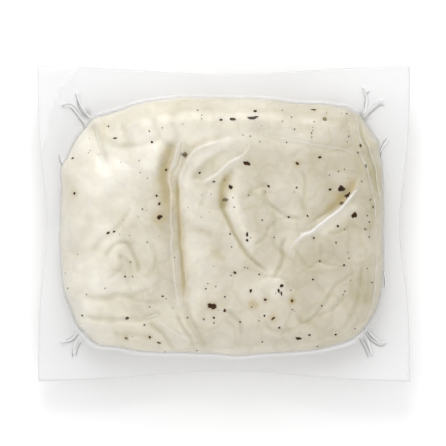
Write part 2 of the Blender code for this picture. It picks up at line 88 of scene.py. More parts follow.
# The cells of each blank's grid, the widths within which it is finer along a route, and the share of
# the film's grid that lies on the slab. The rest is the flange.
CURD_CELLS, CURD_FINE = (104, 84), (0.0022,)
FILM_CELLS, FILM_FINE = (102, 86), (0.0012, 0.0006)
SLAB_SHARE = 0.84
# How milky the film is, how much more so where it is welded, how white where it is pinched and where
# a highlight is painted on it, and its share of full gloss.
FILM_HAZE = 0.006
WELD_HAZE = 0.50
PINCH_AND_HIGHLIGHT_HAZE = 0.40
FILM_SHINE = 0.25
MOST_SHINE = 0.06
# The size and height of the curd's waves and of its finest ones. Then a lump's size, its doming, the
# depth of the crease round it and that crease's share of the lump. Last the reach and size of the sway.
UNEVENNESS = ((0.016, 0.00035), (0.007, 0.00016))
FINE_UNEVENNESS = (0.0042, 0.00011)
CURD_LUMPS = (0.0105, 0.0011, 0.00012, 0.15)
FOLD_SWAY = (0.0007, 0.006)
# The curd is painted darker from left to right, as shade away from the light on the left: where that
# starts, over what length, and the size of its random patches of tone.
PAINTED_SHADE_FROM, PAINTED_SHADE_OVER, RIPE_PATCH = -0.045, 0.085, 0.012
# The depth at which a crease's painted shade is as dark as it gets.
DARKEST_DEPTH = 0.0015
# Where the outline bulges or is nipped in: place, width and depth, and the size and depth of its waves.
OUTLINE_BUMPS = (
    ((-57.3, 19), 4, 1.4),
    ((-45.8, 36.8), 2.6, 0.9),
    ((-36, 40.8), 6, -0.9),
    ((-13.6, 44.6), 3, 0.5),
    ((26, 43), 9, -1.4),
    ((43.2, 41.2), 2.2, 1.0),
    ((47.6, 37.8), 2.6, 0.8),
    ((55, 28.6), 2.0, 1.7),
    ((49.5, -35), 5, -0.4),
    ((-43.5, -42), 5, 1.3),
    ((-53.5, -29), 5, -1.0),
    ((4, -45), 8, 0.8),
)
OUTLINE_WAVES = (0.011, 0.00045)

# %% [markdown]
# ## Folds
# Each fold is a route across the upper face with a height and a width for either flank, in
# millimetres. A height under zero is a crease. Sculpting them by hand would look much the same, but a
# route can be measured, moved and made deeper by changing one number.

# %% Routes of the folds, gathers and swellings
FOLDS = {
    # The seam between the two flaps: the hollow left of it, the groove under the wide flap's edge, the
    # low ridge between them, and the creases that fan out from its foot.
    "seam_head": (-0.9, 1.2, 2.2, ((-16.8, 29), (-18.9, 25.2), (-20.3, 20.3), (-20.6, 15.4),
                                   (-20.3, 9.8), (-19.9, 4.2))),
    "seam_groove": (-0.65, 0.5, 1.3, ((-16.3, 18.2), (-16.4, 13), (-16.1, 7), (-15.4, -3.8),
                                      (-14.6, -15.7), (-14, -27.6))),
    "seam_ridge": (0.35, 0.5, 0.6, ((-15, 28.7), (-16.8, 24.1), (-18.4, 18.9), (-18.7, 14.7),
                                    (-18.4, 4.9), (-18, -3.8), (-17.5, -14.3), (-16.6, -23.1),
                                    (-15.7, -29.4))),
    "seam_foot": (-0.55, 1.0, 2.2, ((-14, -26.6), (-12.3, -30), (-10.8, -34.3), (-7.9, -39.4),
                                    (-4.9, -44.1))),
    "foot_fan_1": (-0.45, 0.8, 0.9, ((-16.4, -29.7), (-14.7, -35.7), (-11.9, -40.2), (-9.4, -44.1))),
    "foot_fan_2": (-0.45, 0.8, 0.9, ((-25.9, -33.9), (-23.1, -36.8), (-20.3, -39.9), (-16.8, -44.1))),
    # The wide flap: its rolled edge, the trough behind it, and the film's second pleat.
    "flap_edge": (0.45, 0.6, 4.2, ((-13.1, -27.6), (-13.8, -15.7), (-14.6, -3.8), (-15.4, 7),
                                   (-15.6, 13.3), (-15, 17.5), (-13.3, 21.7), (-9.8, 25.5),
                                   (-4.9, 27.8), (3.5, 29.4), (9.1, 30.4))),
    "flap_trough": (-0.7, 1.6, 2.2, ((-9.8, 14), (-8.8, 17.5), (-6.3, 20.6), (-1.8, 24.1),
                                     (2.4, 26.6))),
    "second_pleat": (0.55, 0.5, 1.7, ((-7.3, 14), (-5.2, 15.4), (-2.4, 17.8), (1.2, 21), (6.6, 24.1),
                                      (9.1, 26.9))),
    "flap_wrinkle_1": (-0.2, 0.7, 1.3, ((-14.7, 4.2), (-11.9, 4.4), (-9.1, 3.8), (-6.6, 9.8))),
    "flap_wrinkle_2": (-0.25, 0.9, 0.9, ((-4.9, 13.3), (-6.6, 9.8), (-8.4, 5.6))),
    "flap_wrinkle_3": (-0.2, 1.2, 1.6, ((-11.2, -1.4), (-8, -2.1), (-3.5, -3.5))),
    # The hook-shaped crease left of the middle, wide at its head, and the bulge on its right.
    "hook_head": (-0.7, 3.0, 1.4, ((3.5, 18.9), (1.4, 16.4), (-0.3, 12.6), (-0.7, 8.4), (-0.2, 4.2))),
    "hook_line": (-0.75, 0.8, 0.5, ((-0.7, 9.8), (-0.2, 5.2), (1.8, 0.3), (4.2, -4.9), (7.2, -9.1),
                                    (10.8, -13.3), (14.7, -17.1))),
    "hook_bulge": (0.9, 1.6, 2.8, ((5.9, 19.6), (4.5, 14.7), (3.5, 8.4), (4.9, 2.8), (7.7, -2.8),
                                   (11.2, -7.7))),
    # The slanting crease on the right, with the pleat of film along its lower side.
    "slant_crease": (-0.8, 0.9, 2.2, ((46.2, 16.8), (44.1, 12.6), (40.6, 8.4), (35.7, 4.2),
                                      (30.1, 0))),
    "slant_pleat": (0.6, 1.6, 0.4, ((46.9, 12.9), (43.8, 9.3), (40.6, 6.1), (36.8, 3.1), (34.1, 0.2),
                                    (30.4, -2.4), (26.9, -3.8), (24.5, -6.6))),
    # Shallow lines between the lumps of pressed curd.
    "curd_line_1": (-0.5, 0.8, 0.9, ((14, 13.3), (15, 8.4), (18.2, 5.2), (23.1, 2.6), (26.6, 1.8))),
    "curd_line_2": (-0.35, 0.8, 0.8, ((7.7, 8.4), (9.8, 11.9), (13.3, 12.9), (16.1, 14.3))),
    "curd_line_3": (-0.4, 0.9, 0.9, ((26.6, 18.9), (28.3, 14), (27.3, 8.4), (28.3, 4.2))),
    "curd_line_4": (-0.6, 0.8, 0.9, ((21.7, -4.2), (19.9, -7.7), (20.3, -11.5), (18.9, -15.4),
                                     (16.8, -19.6))),
    "curd_line_5": (-0.4, 0.9, 0.9, ((18.2, 0.7), (15.4, -1.4), (13.3, -5.6), (9.8, -7.7))),
    "curd_line_6": (-0.4, 0.8, 0.8, ((23.8, -7.7), (26.9, -12.6), (29.4, -14.7), (32.5, -13.3),
                                     (37.1, -14.3), (42, -15))),
    "curd_line_7": (-0.35, 0.8, 0.8, ((32.9, -6.6), (33.6, -10.5), (32.9, -14))),
    "curd_line_8": (-0.4, 0.8, 0.8, ((44.8, -16.1), (42, -18.9), (38.5, -21), (35.7, -25.2))),
    "curd_line_9": (-0.55, 0.8, 0.8, ((24.1, -30.1), (26.6, -33.9), (30.4, -32.5), (34.3, -28),
                                      (37.1, -23.1))),
    "curd_line_10": (-0.45, 0.8, 0.8, ((41.6, -23.8), (39.2, -27.6), (35.7, -30.4), (31.5, -32.5))),
    "curd_line_11": (-0.55, 0.8, 0.9, ((0.7, -29.4), (3.5, -31.8), (5.2, -34.3), (6.1, -39.2))),
    "curd_line_12": (-0.3, 1.0, 1.6, ((1.4, -13.6), (-2.1, -11.9), (-4.2, -8.8))),
    "curd_line_13": (-0.35, 0.9, 0.9, ((11.9, -18.9), (16.1, -18.2), (21, -19.2), (23.1, -23.1))),
    "curd_line_14": (-0.35, 0.9, 0.9, ((13.3, -32.9), (15.4, -35.7), (19.6, -37.1), (23.8, -36.8))),
    "curd_line_15": (-0.3, 0.9, 0.9, ((35.7, -4.2), (39.9, -2.8), (44.1, -1.4))),
    # The arched folds of the narrow flap, and the folds across its foot.
    "arch_1": (-0.35, 1.2, 1.2, ((-45.1, -10.5), (-43, -6.3), (-39.2, -3.5), (-35.7, 0),
                                 (-32.5, 6.3))),
    "arch_2": (-0.5, 1.0, 1.0, ((-41.6, -13.3), (-39.9, -9.1), (-37.1, -7), (-33.6, -6.6),
                                (-31.5, -9.8), (-29.7, -15.4), (-30.4, -18.2))),
    "arch_3": (-0.4, 1.0, 1.0, ((-36, -9.8), (-36, -14.7), (-37.8, -17.5), (-40.9, -19.9))),
    "arch_4": (-0.4, 1.1, 1.1, ((-26.6, -5.6), (-24.1, -9.8), (-23.8, -14), (-25.9, -17.5),
                                (-29.4, -18.9))),
    "arch_5": (-0.3, 1.0, 1.0, ((-37.1, -10.5), (-33.6, -13.3), (-32.5, -16.8), (-33.6, -20.3))),
    "foot_fold": (-0.5, 1.0, 1.5, ((-49.3, -24.1), (-45.1, -25.5), (-40.9, -25.5), (-36.4, -24.5),
                                   (-32.5, -24.5), (-28.7, -23.4), (-25.2, -22.4))),
    "foot_fold_branch": (-0.35, 1.0, 1.0, ((-34.3, -25.2), (-29.4, -26.6), (-25.2, -27.6),
                                           (-22.4, -27.6))),
    "foot_hem": (-0.5, 1.3, 1.0, ((-50, -31.5), (-45.1, -32.7), (-39.9, -33.2), (-34.6, -33.4),
                                  (-29.4, -33.2), (-23.8, -31.8), (-21.3, -31.1))),
    "foot_wrinkle": (-0.35, 1.0, 1.0, ((-39.2, -37.1), (-35, -38.5), (-30.1, -38.1), (-25.9, -39.5))),
    # The narrow flap's hip, from which its upper corner slopes away, and the pull of the film across
    # that corner.
    "hip": (1.1, 6.5, 2.4, ((-46.5, 5.9), (-44.1, 10.8), (-39.9, 14.3), (-34.3, 15.7), (-29, 17.1),
                            (-24.5, 21.7), (-20.3, 27.6))),
    "corner_pull": (-0.6, 1.6, 2.0, ((-46.2, 36), (-44.4, 31.5), (-43, 26.6), (-41.3, 21.3),
                                     (-39.9, 16.1))),
    "top_left_line": (-0.4, 1.4, 1.4, ((-41.6, 29.4), (-37.1, 27.3), (-32.2, 26.9), (-27.6, 27.6),
                                       (-22.4, 30.8))),
    # The pull of the film's gathers across the upper right corner and down the right side.
    "top_right_hem": (-0.35, 1.8, 1.2, ((11.9, 30.8), (21, 29.4), (33.6, 26.9), (40.6, 25.9),
                                        (46.5, 23.4))),
    "right_crease": (-0.9, 0.9, 1.1, ((46.9, 36.4), (47.9, 30.8), (50, 25.9), (52.1, 20.3),
                                      (53.2, 14.7), (53.5, 9.8))),
    "right_pull": (-0.4, 1.0, 1.0, ((49, 25.9), (50.4, 18.9), (51.4, 11.9), (51.4, 3.1),
                                    (51.1, -5.6))),
    "corner_drape": (-0.5, 1.2, 1.0, ((47.9, -11.9), (47.6, -19.6), (46.5, -26.6), (44.1, -32.9),
                                      (39.9, -38.1))),
    "corner_drape_2": (-0.35, 1.0, 1.0, ((50, -13.3), (50.4, -20.3), (49, -28))),
}

# Broad swellings and hollows of the upper face: centre, radii and height.
SWELLINGS = (
    ((-45, 31), (17, 13), -2.6),
    ((-42, 2), (13, 20), 0.8),
    ((-33, -15), (12, 12), 0.5),
    ((-6, 6), (6, 12), 0.4),
    ((14, 8), (9, 9), 0.6),
    ((38, 22), (14, 6), -0.6),
    ((31, 10), (5, 6), 0.5),
    ((38, -6), (9, 8), 0.5),
    ((-1, -9.5), (3.2, 3.6), -0.6),
    ((12, -28), (12, 10), 0.5),
    ((28, -22), (9, 8), 0.5),
    ((2, 36), (34, 4), 0.4),
    ((46, 36), (5, 4), -1.2),
)

# Gathers of the film that stand up at each corner of the pouch and at its sides, as height, width and
# points.
GATHERS = (
    (1.0, 0.7, ((-51.7, 46.6), (-50.6, 42.6), (-48.6, 39.2), (-45.6, 35.8))),
    (0.9, 0.7, ((-57, 41.2), (-53.4, 41.0), (-50.8, 38.2), (-47.6, 33.6))),
    (0.9, 0.7, ((48, 48), (49.7, 44.8), (49.7, 41), (48.4, 37.4))),
    (1.1, 0.8, ((56, 42.4), (54.0, 42.4), (50.8, 39.6), (48.0, 36.2))),
    (0.9, 0.7, ((-58.2, -41.7), (-53.6, -40.3), (-50.4, -36.8), (-47.8, -34.2))),
    (0.8, 0.7, ((-52.6, -46.6), (-52.4, -43.1), (-50.6, -39.7), (-47.4, -35.6))),
    (1.0, 0.7, ((57.2, -41.0), (54.4, -41.2), (50.6, -37.6), (48.2, -34.2))),
    (0.9, 0.7, ((51.6, -47.0), (51.1, -43.2), (49.4, -39.0), (47.0, -35.6))),
    (0.7, 0.6, ((57.6, 29.8), (56, 27.6), (54.4, 24.6))),
    (0.5, 0.6, ((-57.6, 23.8), (-56.4, 21.6), (-54.6, 19))),
    (0.5, 0.6, ((55.6, -16), (56.6, -19.4), (56.4, -23))),
)
print(len(FOLDS), "folds,", len(SWELLINGS), "swellings,", len(GATHERS), "gathers")

# %% [markdown]
# ## Creases of the film alone
# Where the drawn film bridges a fold it stands off the cheese in a thin sharp pleat, which catches
# the light as a white line; that line is painted on as well, as whitening and a painted highlight.
# These pleats are too fine for the solid, so they are in the film's mesh only.

# %% Routes of the film's own pleats
# Height, a width for each side, how white the crest is painted, part stress whitening and part painted
# highlight, and points.
FILM_PLEATS = (
    # The seam's thin ridge, and the fan of lines at its head.
    (0.12, 0.25, 0.3, 0.7, ((-15, 28.7), (-16.4, 25.5), (-18, 20.6), (-18.7, 16.1), (-18.7, 13.3))),
    (0.12, 0.22, 0.28, 0.6, ((-18.7, 13.3), (-18.4, 6.6), (-18.1, -3.8), (-17.5, -14.3),
                             (-16.8, -22.4), (-15.7, -29.4))),
    (0.12, 0.2, 0.22, 0.8, ((-15, 29.7), (-15.4, 26.6), (-16.8, 22.4), (-18.2, 18.2))),
    (0.12, 0.2, 0.22, 0.7, ((-14, 27.3), (-14.7, 24.5), (-16.1, 20.3), (-17.5, 16.1))),
    (0.1, 0.2, 0.22, 0.8, ((-15, 29.7), (-14, 28), (-13.3, 25.5))),
    # The rolled edge of the wide flap, and the pleat beside it.
    (0.12, 0.22, 0.5, 0.55, ((-15.5, 13.3), (-15, 17.5), (-13.3, 21.7), (-9.8, 25.5), (-4.9, 27.8),
                             (0.7, 29))),
    (0.2, 0.22, 0.55, 0.9, ((-7.2, 13.8), (-5.2, 15.4), (-2.4, 17.8), (1.2, 21), (4.9, 23.4),
                            (6.6, 24.1))),
    (0.12, 0.2, 0.3, 0.6, ((6.6, 24.1), (8.4, 25.5), (9.1, 27.3))),
    # Along the slanting crease.
    (0.3, 0.9, 0.2, 1.6, ((46.7, 12.6), (43.8, 9.3), (40.6, 6.1), (36.8, 3.1), (34.1, 0.2),
                          (30.4, -2.4), (26.9, -3.8), (24.5, -6.6))),
    (0.14, 0.2, 0.2, 1, ((47.6, 13.3), (44.8, 9.8), (42, 6.8), (38.5, 4), (35.3, 0.7), (32.2, -1.8))),
    (0.12, 0.2, 0.22, 0.7, ((26.6, -4.2), (24.5, -6.3), (23.1, -8), (22.4, -10.5))),
    # Across the upper right corner and down the right side.
    (0.08, 0.25, 0.3, 0.5, ((12.2, 31.1), (21, 29.7), (33.6, 27.3), (40.6, 26.2), (45.5, 24.5))),
    (0.18, 0.22, 0.25, 1, ((48.3, 30.8), (50, 26.9), (51.8, 22.4), (53.2, 17.5), (53.9, 11.9),
                           (54.2, 6.3))),
    (0.14, 0.2, 0.22, 0.8, ((46.5, 25.9), (49, 21), (50.8, 14.7), (52.1, 7), (52.5, 0.7))),
    (0.12, 0.2, 0.22, 0.7, ((49.7, -35.3), (51.4, -28), (52.8, -18.2), (53.5, -9.1))),
    (0.12, 0.2, 0.22, 0.7, ((44.8, 39.2), (46.2, 35), (46.9, 30.1), (48.6, 25.9))),
    (0.12, 0.2, 0.22, 0.6, ((42.7, 36.4), (44.1, 32.2), (44.8, 27.3))),
    # Across the foot of the narrow flap.
    (0.08, 0.22, 0.28, 0.5, ((-48.6, -31.5), (-41.6, -32.9), (-32.9, -33.2), (-26.6, -32.2),
                             (-23.4, -31.5))),
    (0.14, 0.22, 0.25, 1.3, ((-26.6, -32.5), (-24.5, -32), (-22.4, -31.5))),
    (0.12, 0.22, 0.25, 0.8, ((-23.1, -32.5), (-20.3, -35.7), (-16.8, -38.1), (-14.7, -39.9))),
    # From the gather at the upper left corner.
    (0.12, 0.22, 0.25, 0.7, ((-45.1, 35.7), (-43.8, 30.1), (-42.3, 24.1), (-41.3, 18.2))),
    (0.12, 0.22, 0.25, 0.6, ((-46.2, 34.3), (-44.8, 28.7), (-42.7, 22.4), (-40.6, 16.8))),
    (0.08, 0.22, 0.25, 0.5, ((-56.7, 18.9), (-57, 8.4), (-56.7, -5.6), (-56, -17.8))),
)

# Where the film is gathered at the corners it lies in several layers, and their edges show as thin
# grey lines: height, width and points.
GATHER_LINES = (
    # Upper left.
    (0.3, 0.28, ((-51.8, 46.5), (-51.1, 43.8), (-49.3, 40.6), (-46.2, 37.8))),
    (0.25, 0.28, ((-51.4, 44.4), (-50.4, 40.9), (-48.3, 38.1), (-45.8, 36.8))),
    (0.3, 0.3, ((-57.4, 40.9), (-54.9, 41.6), (-52.5, 39.9), (-49.7, 36))),
    (0.25, 0.28, ((-55.3, 42.3), (-52.5, 41.3), (-50.4, 38.8), (-49, 35))),
    (0.25, 0.28, ((-51.1, 37.4), (-49.3, 35), (-48.3, 31.8))),
    # Upper right.
    (0.3, 0.25, ((47.9, 47.9), (49, 46.2), (49.7, 44.1), (49.3, 41.3), (49.7, 38.5))),
    (0.25, 0.25, ((51.1, 46.2), (49.7, 45.1), (49, 44.1))),
    (0.3, 0.3, ((55.6, 43), (53.5, 42.3), (51.4, 40.2), (49, 37.8))),
    (0.25, 0.28, ((56.3, 41.3), (54.2, 41.3), (51.8, 39.2), (49.7, 37.1))),
    # Lower left.
    (0.3, 0.3, ((-57.4, -41.6), (-55.3, -41.3), (-52.5, -40.2), (-50.4, -37.8))),
    (0.25, 0.28, ((-56.7, -40.9), (-53.9, -39.9), (-51.4, -38.1), (-50, -35.7))),
    (0.3, 0.28, ((-52.5, -46.9), (-52.8, -44.1), (-52.1, -42), (-50.4, -39.2))),
    (0.25, 0.26, ((-51.4, -46.5), (-51.1, -43.4), (-50, -40.9))),
    # Lower right.
    (0.3, 0.28, ((57.4, -41.3), (55.6, -42.7), (53.2, -41.6), (50.8, -39.9), (49, -37.1))),
    (0.25, 0.28, ((56.7, -41.6), (53.9, -40.6), (51.4, -39.2), (49.7, -35.7))),
    (0.3, 0.28, ((50.8, -47.2), (49.7, -44.8), (48.6, -42), (47.6, -39.2))),
    (0.25, 0.26, ((52.1, -46.9), (51.1, -44.4), (50, -42), (49, -39.9))),
    # Sides.
    (0.25, 0.26, ((57.4, 30.4), (56, 28.7), (54.9, 25.9))),
    (0.2, 0.26, ((56.7, 28.3), (55.6, 26.2), (54.9, 23.1))),
    (0.2, 0.25, ((-57.7, 24.5), (-57, 22.4), (-56, 19.6))),
    (0.2, 0.25, ((55.3, -15.4), (56.3, -18.2), (56, -22.4))),
)
# Where those layers meet the slab's corners they lie bunched in a small grey patch: place, radius and
# strength.
BUNCHES = (
    ((-48.2, 38.6), 2.2, 0.7), ((-46.2, 35.5), 1.6, 0.5), ((48.6, 37.8), 2.4, 0.7), ((46, 36.6), 1.6, 0.4),
    ((-49.8, -36.6), 1.8, 0.6), ((49.2, -37.2), 1.8, 0.6),
)
# Beyond this line the pouch's upper left corner curls up and catches more light.
CURL = ((-49.2, 56.5), (-54.2, 49.5), (-58.6, 43.4), (-60.7, 37), (-61.4, 31), (-64, 24))

# %% [markdown]
# ## From routes to heights
# A route's few points are joined by a Catmull-Rom curve, which passes through every one of them. The
# height at a place then depends on its distance from that curve. Only the places near a route are
# worked out, which keeps this quick on a fine mesh.

# %% Heights from routes
def mm(*points):
    """Points given in millimetres, as an array in metres."""
    return np.array(points, float) * MM


def smoothstep(value):
    """0 below 0, 1 above 1, and an S-curve between."""
    held = np.clip(value, 0.0, 1.0)
    return held * held * (3.0 - 2.0 * held)


def smooth_route(points, steps=8):
    """A Catmull-Rom curve through the points, as a line of short straight pieces."""
    padded = np.vstack([2 * points[0] - points[1], points, 2 * points[-1] - points[-2]])
    line = []
    for before, start, end, after in zip(padded, padded[1:], padded[2:], padded[3:]):
        for step in range(steps):
            t = step / steps
            line.append(0.5 * (2 * start + (end - before) * t
                               + (2 * before - 5 * start + 4 * end - after) * t ** 2
                               + (3 * start - before - 3 * end + after) * t ** 3))
    return np.array([*line, points[-1]])


def beside(plan, line):
    """Each place's distance from the line, whether it lies left of it, and how far along it is."""
    nearest = np.full(len(plan), np.inf)
    on_left = np.zeros(len(plan), bool)
    along = np.zeros(len(plan))
    pieces = len(line) - 1
    for index in range(pieces):
        start = line[index]
        run = line[index + 1] - start
        offset = plan - start
        share = np.clip(offset @ run / (run @ run), 0.0, 1.0)
        distance = np.hypot(*(offset - share[:, None] * run).T)
        closer = distance < nearest
        nearest[closer] = distance[closer]
        on_left[closer] = (run[0] * offset[:, 1] - run[1] * offset[:, 0] > 0)[closer]
        along[closer] = (index + share[closer]) / pieces
    return nearest, on_left, along


def fold_height(plan, height, left_width, right_width, points):
    """A ridge or crease along a route, fading at both ends, with flanks that may differ."""
    line = smooth_route(mm(*points))
    margin = 3 * MM * max(left_width, right_width)
    inside = ((plan > line.min(0) - margin) & (plan < line.max(0) + margin)).all(1)
    made = np.zeros(len(plan))
    distance, on_left, along = beside(plan[inside], line)
    width = np.where(on_left, left_width, right_width) * MM
    ends = smoothstep(along / 0.15) * smoothstep((1.0 - along) / 0.15)
    made[inside] = height * MM * (0.2 + 0.8 * ends) * np.exp(-(distance / width) ** 2)
    return made


def swelling_height(plan, centre, radii, height):
    """A broad mound, or a hollow where the height is under zero."""
    scaled = (plan - mm(centre)) / mm(radii)
    return height * MM * np.exp(-(scaled ** 2).sum(1))


def patch(plan, centre, radius, strength, power=2):
    """A round patch, strongest at its centre; a higher power gives it a sharper rim."""
    away = np.linalg.norm(plan - mm(centre), axis=1) / (radius * MM)
    return strength * np.exp(-away ** power)


# %% [markdown]
# ## The curd
# Halloumi is pressed from lumps of curd, and their joints still show as faint creases. Two waves of
# noise give the soft unevenness, and a Voronoi pattern gives the joints, because its cell walls are
# where two lumps meet. The pattern is swayed by a slower noise, so that no wall runs straight.

# %% Curd and folds together
def curd_unevenness(plan, level):
    """The soft unevenness of pressed curd: waves of two sizes, and lumps with creases between."""
    height = np.zeros(len(plan))
    for size, amount in UNEVENNESS:
        height += [amount * noise.noise(Vector((x / size, y / size, level))) for x, y in plan]
    size, doming, crease, share = CURD_LUMPS
    for index, (x, y) in enumerate(plan):
        spot = Vector((x / size, y / size, level))
        sway = 0.35 * noise.noise_vector(spot * 0.9)
        near, next_near = noise.voronoi(spot + sway)[0][:2]
        pressed = 0.55 + 0.9 * noise.noise(spot * 0.35 + Vector((5, 3, 1)))
        wall = math.exp(-((next_near - near) / share) ** 2)
        height[index] -= max(pressed, 0.1) * (doming * min(near, 0.6) ** 2 + crease * wall)
    return height


def swayed(plan):
    """The plan moved about a little, so that no fold runs as evenly as it was drawn."""
    reach, size = FOLD_SWAY
    moved = [noise.noise_vector(Vector((x / size, y / size, 4.0)))[:2] for x, y in plan]
    return plan + reach * np.array(moved)


def upper_relief(plan):
    """Height of the folds, swellings and unevenness on the upper face."""
    size, amount = FINE_UNEVENNESS
    height = curd_unevenness(plan, level=2.0)
    height += [amount * noise.noise(Vector((x / size, y / size, 3.0))) for x, y in plan]
    drawn = swayed(plan)
    for fold in FOLDS.values():
        height += fold_height(drawn, *fold)
    for swelling in SWELLINGS:
        height += swelling_height(plan, *swelling)
    return height


# %% [markdown]
# ## The form of the pack
# Both the cheese and its film are a square grid bent over a pillow. In the middle of the grid lies
# the face, round it the shoulder, which falls in a quarter of a superellipse, and on the film the
# outermost rings make the flange. One function gives the place of every grid point, so that cheese
# and film agree wherever they touch.

# %% Outlines and the pillow
def block_outline(u, v):
    """The cheese's widest outline in each direction of the grid, with its outward normal."""
    upper = np.where(u < 0, "top_left", "top_right")
    lower = np.where(u < 0, "bottom_left", "bottom_right")
    corner = np.where(v < 0, lower, upper)
    power = np.select([corner == name for name in SQUARENESS], list(SQUARENESS.values()))
    reach = (np.abs(u) ** power + np.abs(v) ** power) ** (-1.0 / power)
    unit = np.stack([u * reach, v * reach], axis=1)
    normal = np.sign(unit) * np.abs(unit) ** (power[:, None] - 1.0) / BLOCK_HALF
    normal /= np.linalg.norm(normal, axis=1)[:, None]
    outline = unit * BLOCK_HALF + BLOCK_CENTRE
    size, amount = OUTLINE_WAVES
    bulge = np.array([amount * noise.noise(Vector((x / size, y / size, 6.0))) for x, y in outline])
    for place, width, depth in OUTLINE_BUMPS:
        away = np.linalg.norm(outline - mm(place), axis=1)
        bulge += depth * MM * np.exp(-(away / (width * MM)) ** 2)
    return outline + normal * bulge[:, None], normal


def pouch_outline(u, v):
    """The pouch's outer edge for each direction of the grid: a rectangle with each side drawn in."""
    side_bow = np.where(u < 0, EDGE_DRAWN_IN["left"], EDGE_DRAWN_IN["right"])
    end_bow = np.where(v < 0, EDGE_DRAWN_IN["bottom"], EDGE_DRAWN_IN["top"])
    x = u * (POUCH_HALF[0] - side_bow * np.exp(-(v / DRAWN_IN_REACH["side"]) ** 2))
    y = v * (POUCH_HALF[1] - end_bow * np.exp(-(u / DRAWN_IN_REACH["end"]) ** 2))
    return np.stack([x, y], axis=1)


def flange_level(u, v):
    """How far the flange's outer edge stands above the seal: lifted corners and a slight ripple."""
    level = np.zeros(len(u))
    for name, lift in CORNER_LIFT.items():
        across = -u if name.endswith("left") else u
        up = -v if name.startswith("bottom") else v
        level += lift * (np.clip(across, 0, 1) * np.clip(up, 0, 1)) ** 3
    around = np.arctan2(v, u)
    return level + EDGE_RIPPLE * (np.sin(5 * around + 0.6) + 0.6 * np.sin(11 * around))


def pillow_plan(grid, block_share, gap):
    """Each grid point's place from above, its share of the rise, where it is on the flange, its level."""
    u, v = grid.T
    ring = np.maximum(np.abs(u), np.abs(v))
    middle = ring < 1e-6
    edge_u, edge_v = (np.where(middle, 1.0, along / np.where(middle, 1.0, ring)) for along in (u, v))
    outline, normal = block_outline(edge_u, edge_v)
    outline = outline - gap * normal
    inward = ring / block_share
    turn = np.clip((inward - SHOULDER_START) / (1.0 - SHOULDER_START), 0.0, 1.0) * math.pi / 2
    power = 2.0 / SHOULDER_FULLNESS
    inset = SHOULDER_WIDTH * (1.0 - np.sin(turn) ** power)
    shrink = np.minimum(inward / SHOULDER_START, 1.0)
    plan = BLOCK_CENTRE + (outline - normal * inset[:, None] - BLOCK_CENTRE) * shrink[:, None]
    out = np.zeros(len(u))
    if block_share < 1.0:
        out = np.clip((ring - block_share) / (1.0 - block_share), 0.0, 1.0)
        spread = pouch_outline(edge_u, edge_v) - outline
        on_flange = ring > block_share
        plan[on_flange] = (outline + spread * out[:, None])[on_flange]
        reach = np.linalg.norm(spread, axis=1) * out
    else:
        reach = np.zeros(len(u))
    level = SEAL_HEIGHT + flange_level(edge_u, edge_v) * out ** 1.5
    return plan, np.cos(turn) ** power, out, reach, level


# %% [markdown]
# ## A blank to bend
# A bmesh grid is extruded into a thin slab, so it is closed from the start. The lower side is never
# seen close up, so it keeps the coarse grid. The upper side is subdivided once all over, and once
# more along the folds, so that the small faces go where there is form for them to show.

# %% Blank
def pillow_blank(cells, block_share, fine_routes, fine_widths):
    """A closed flat slab on a grid from -1 to 1, its upper side at z = 1 and finer along the routes."""
    bm = bmesh.new()
    bmesh.ops.create_grid(bm, x_segments=cells[0], y_segments=cells[1], size=1.0)
    lifted = bmesh.ops.extrude_face_region(bm, geom=bm.faces[:])
    upper = [item for item in lifted["geom"] if isinstance(item, bmesh.types.BMVert)]
    bmesh.ops.translate(bm, vec=Vector((0, 0, 1)), verts=upper)
    for width in (None, *fine_widths):
        faces = [face for face in bm.faces if min(vert.co.z for vert in face.verts) > 0.5]
        middles = np.array([face.calc_center_median().xy for face in faces])
        plan = swayed(pillow_plan(middles, block_share, 0.0)[0])
        keep = np.ones(len(faces), bool) if width is None else near_routes(plan, fine_routes, width)
        edges = dict.fromkeys(edge for face, kept in zip(faces, keep) if kept for edge in face.edges)
        bmesh.ops.subdivide_edges(bm, edges=list(edges), cuts=1, use_grid_fill=True)
    return bm


def near_routes(plan, routes, width):
    """Whether each place lies within a width of any route."""
    near = np.zeros(len(plan), bool)
    for points in routes:
        line = smooth_route(mm(*points), steps=4)
        inside = ((plan > line.min(0) - width) & (plan < line.max(0) + width)).all(1) & ~near
        near[inside] = beside(plan[inside], line)[0] < width
    return near


def upper_and_lower(bm):
    """The blank's vertices by side, each with their grid places."""
    sides = [(is_upper, [vert for vert in bm.verts if (vert.co.z > 0.5) == is_upper])
             for is_upper in (True, False)]
    return [(is_upper, verts, np.array([vert.co.xy for vert in verts])) for is_upper, verts in sides]


def finished(bm, name, material):
    """The bmesh as an object in the scene, with its faces outwards and shaded smooth."""
    bmesh.ops.recalc_face_normals(bm, faces=bm.faces[:])
    for face in bm.faces:
        face.smooth = True
    mesh = bpy.data.meshes.new(name)
    bm.to_mesh(mesh)
    bm.free()
    mesh.materials.append(material)
    piece = bpy.data.objects.new(name, mesh)
    bpy.context.scene.collection.objects.link(piece)
    triangles = sum(len(face.vertices) - 2 for face in mesh.polygons)
    print(f"{name}: {triangles} triangles")
    return piece


# %% [markdown]
# ## Materials
# A colour picked from a screen is an sRGB value, and Blender's shaders work in linear light, so one
# function turns hex colours linear. A second one adds a node with its settings and its links, and
# two more read the mesh's attributes and mix two colours, which keeps each material a short list of
# what it is made of.

# %% Helpers for materials
def hex_colour(code):
    """An sRGB hex colour as linear RGBA."""
    channels = [int(code[place:place + 2], 16) / 255 for place in (0, 2, 4)]
    return (*[c / 12.92 if c <= 0.04045 else ((c + 0.055) / 1.055) ** 2.4 for c in channels], 1.0)


def new_material(name):
    """An empty node material with its output."""
    material = bpy.data.materials.new(name)
    material.use_nodes = True
    material.node_tree.nodes.clear()
    return material, material.node_tree.nodes.new("ShaderNodeOutputMaterial")


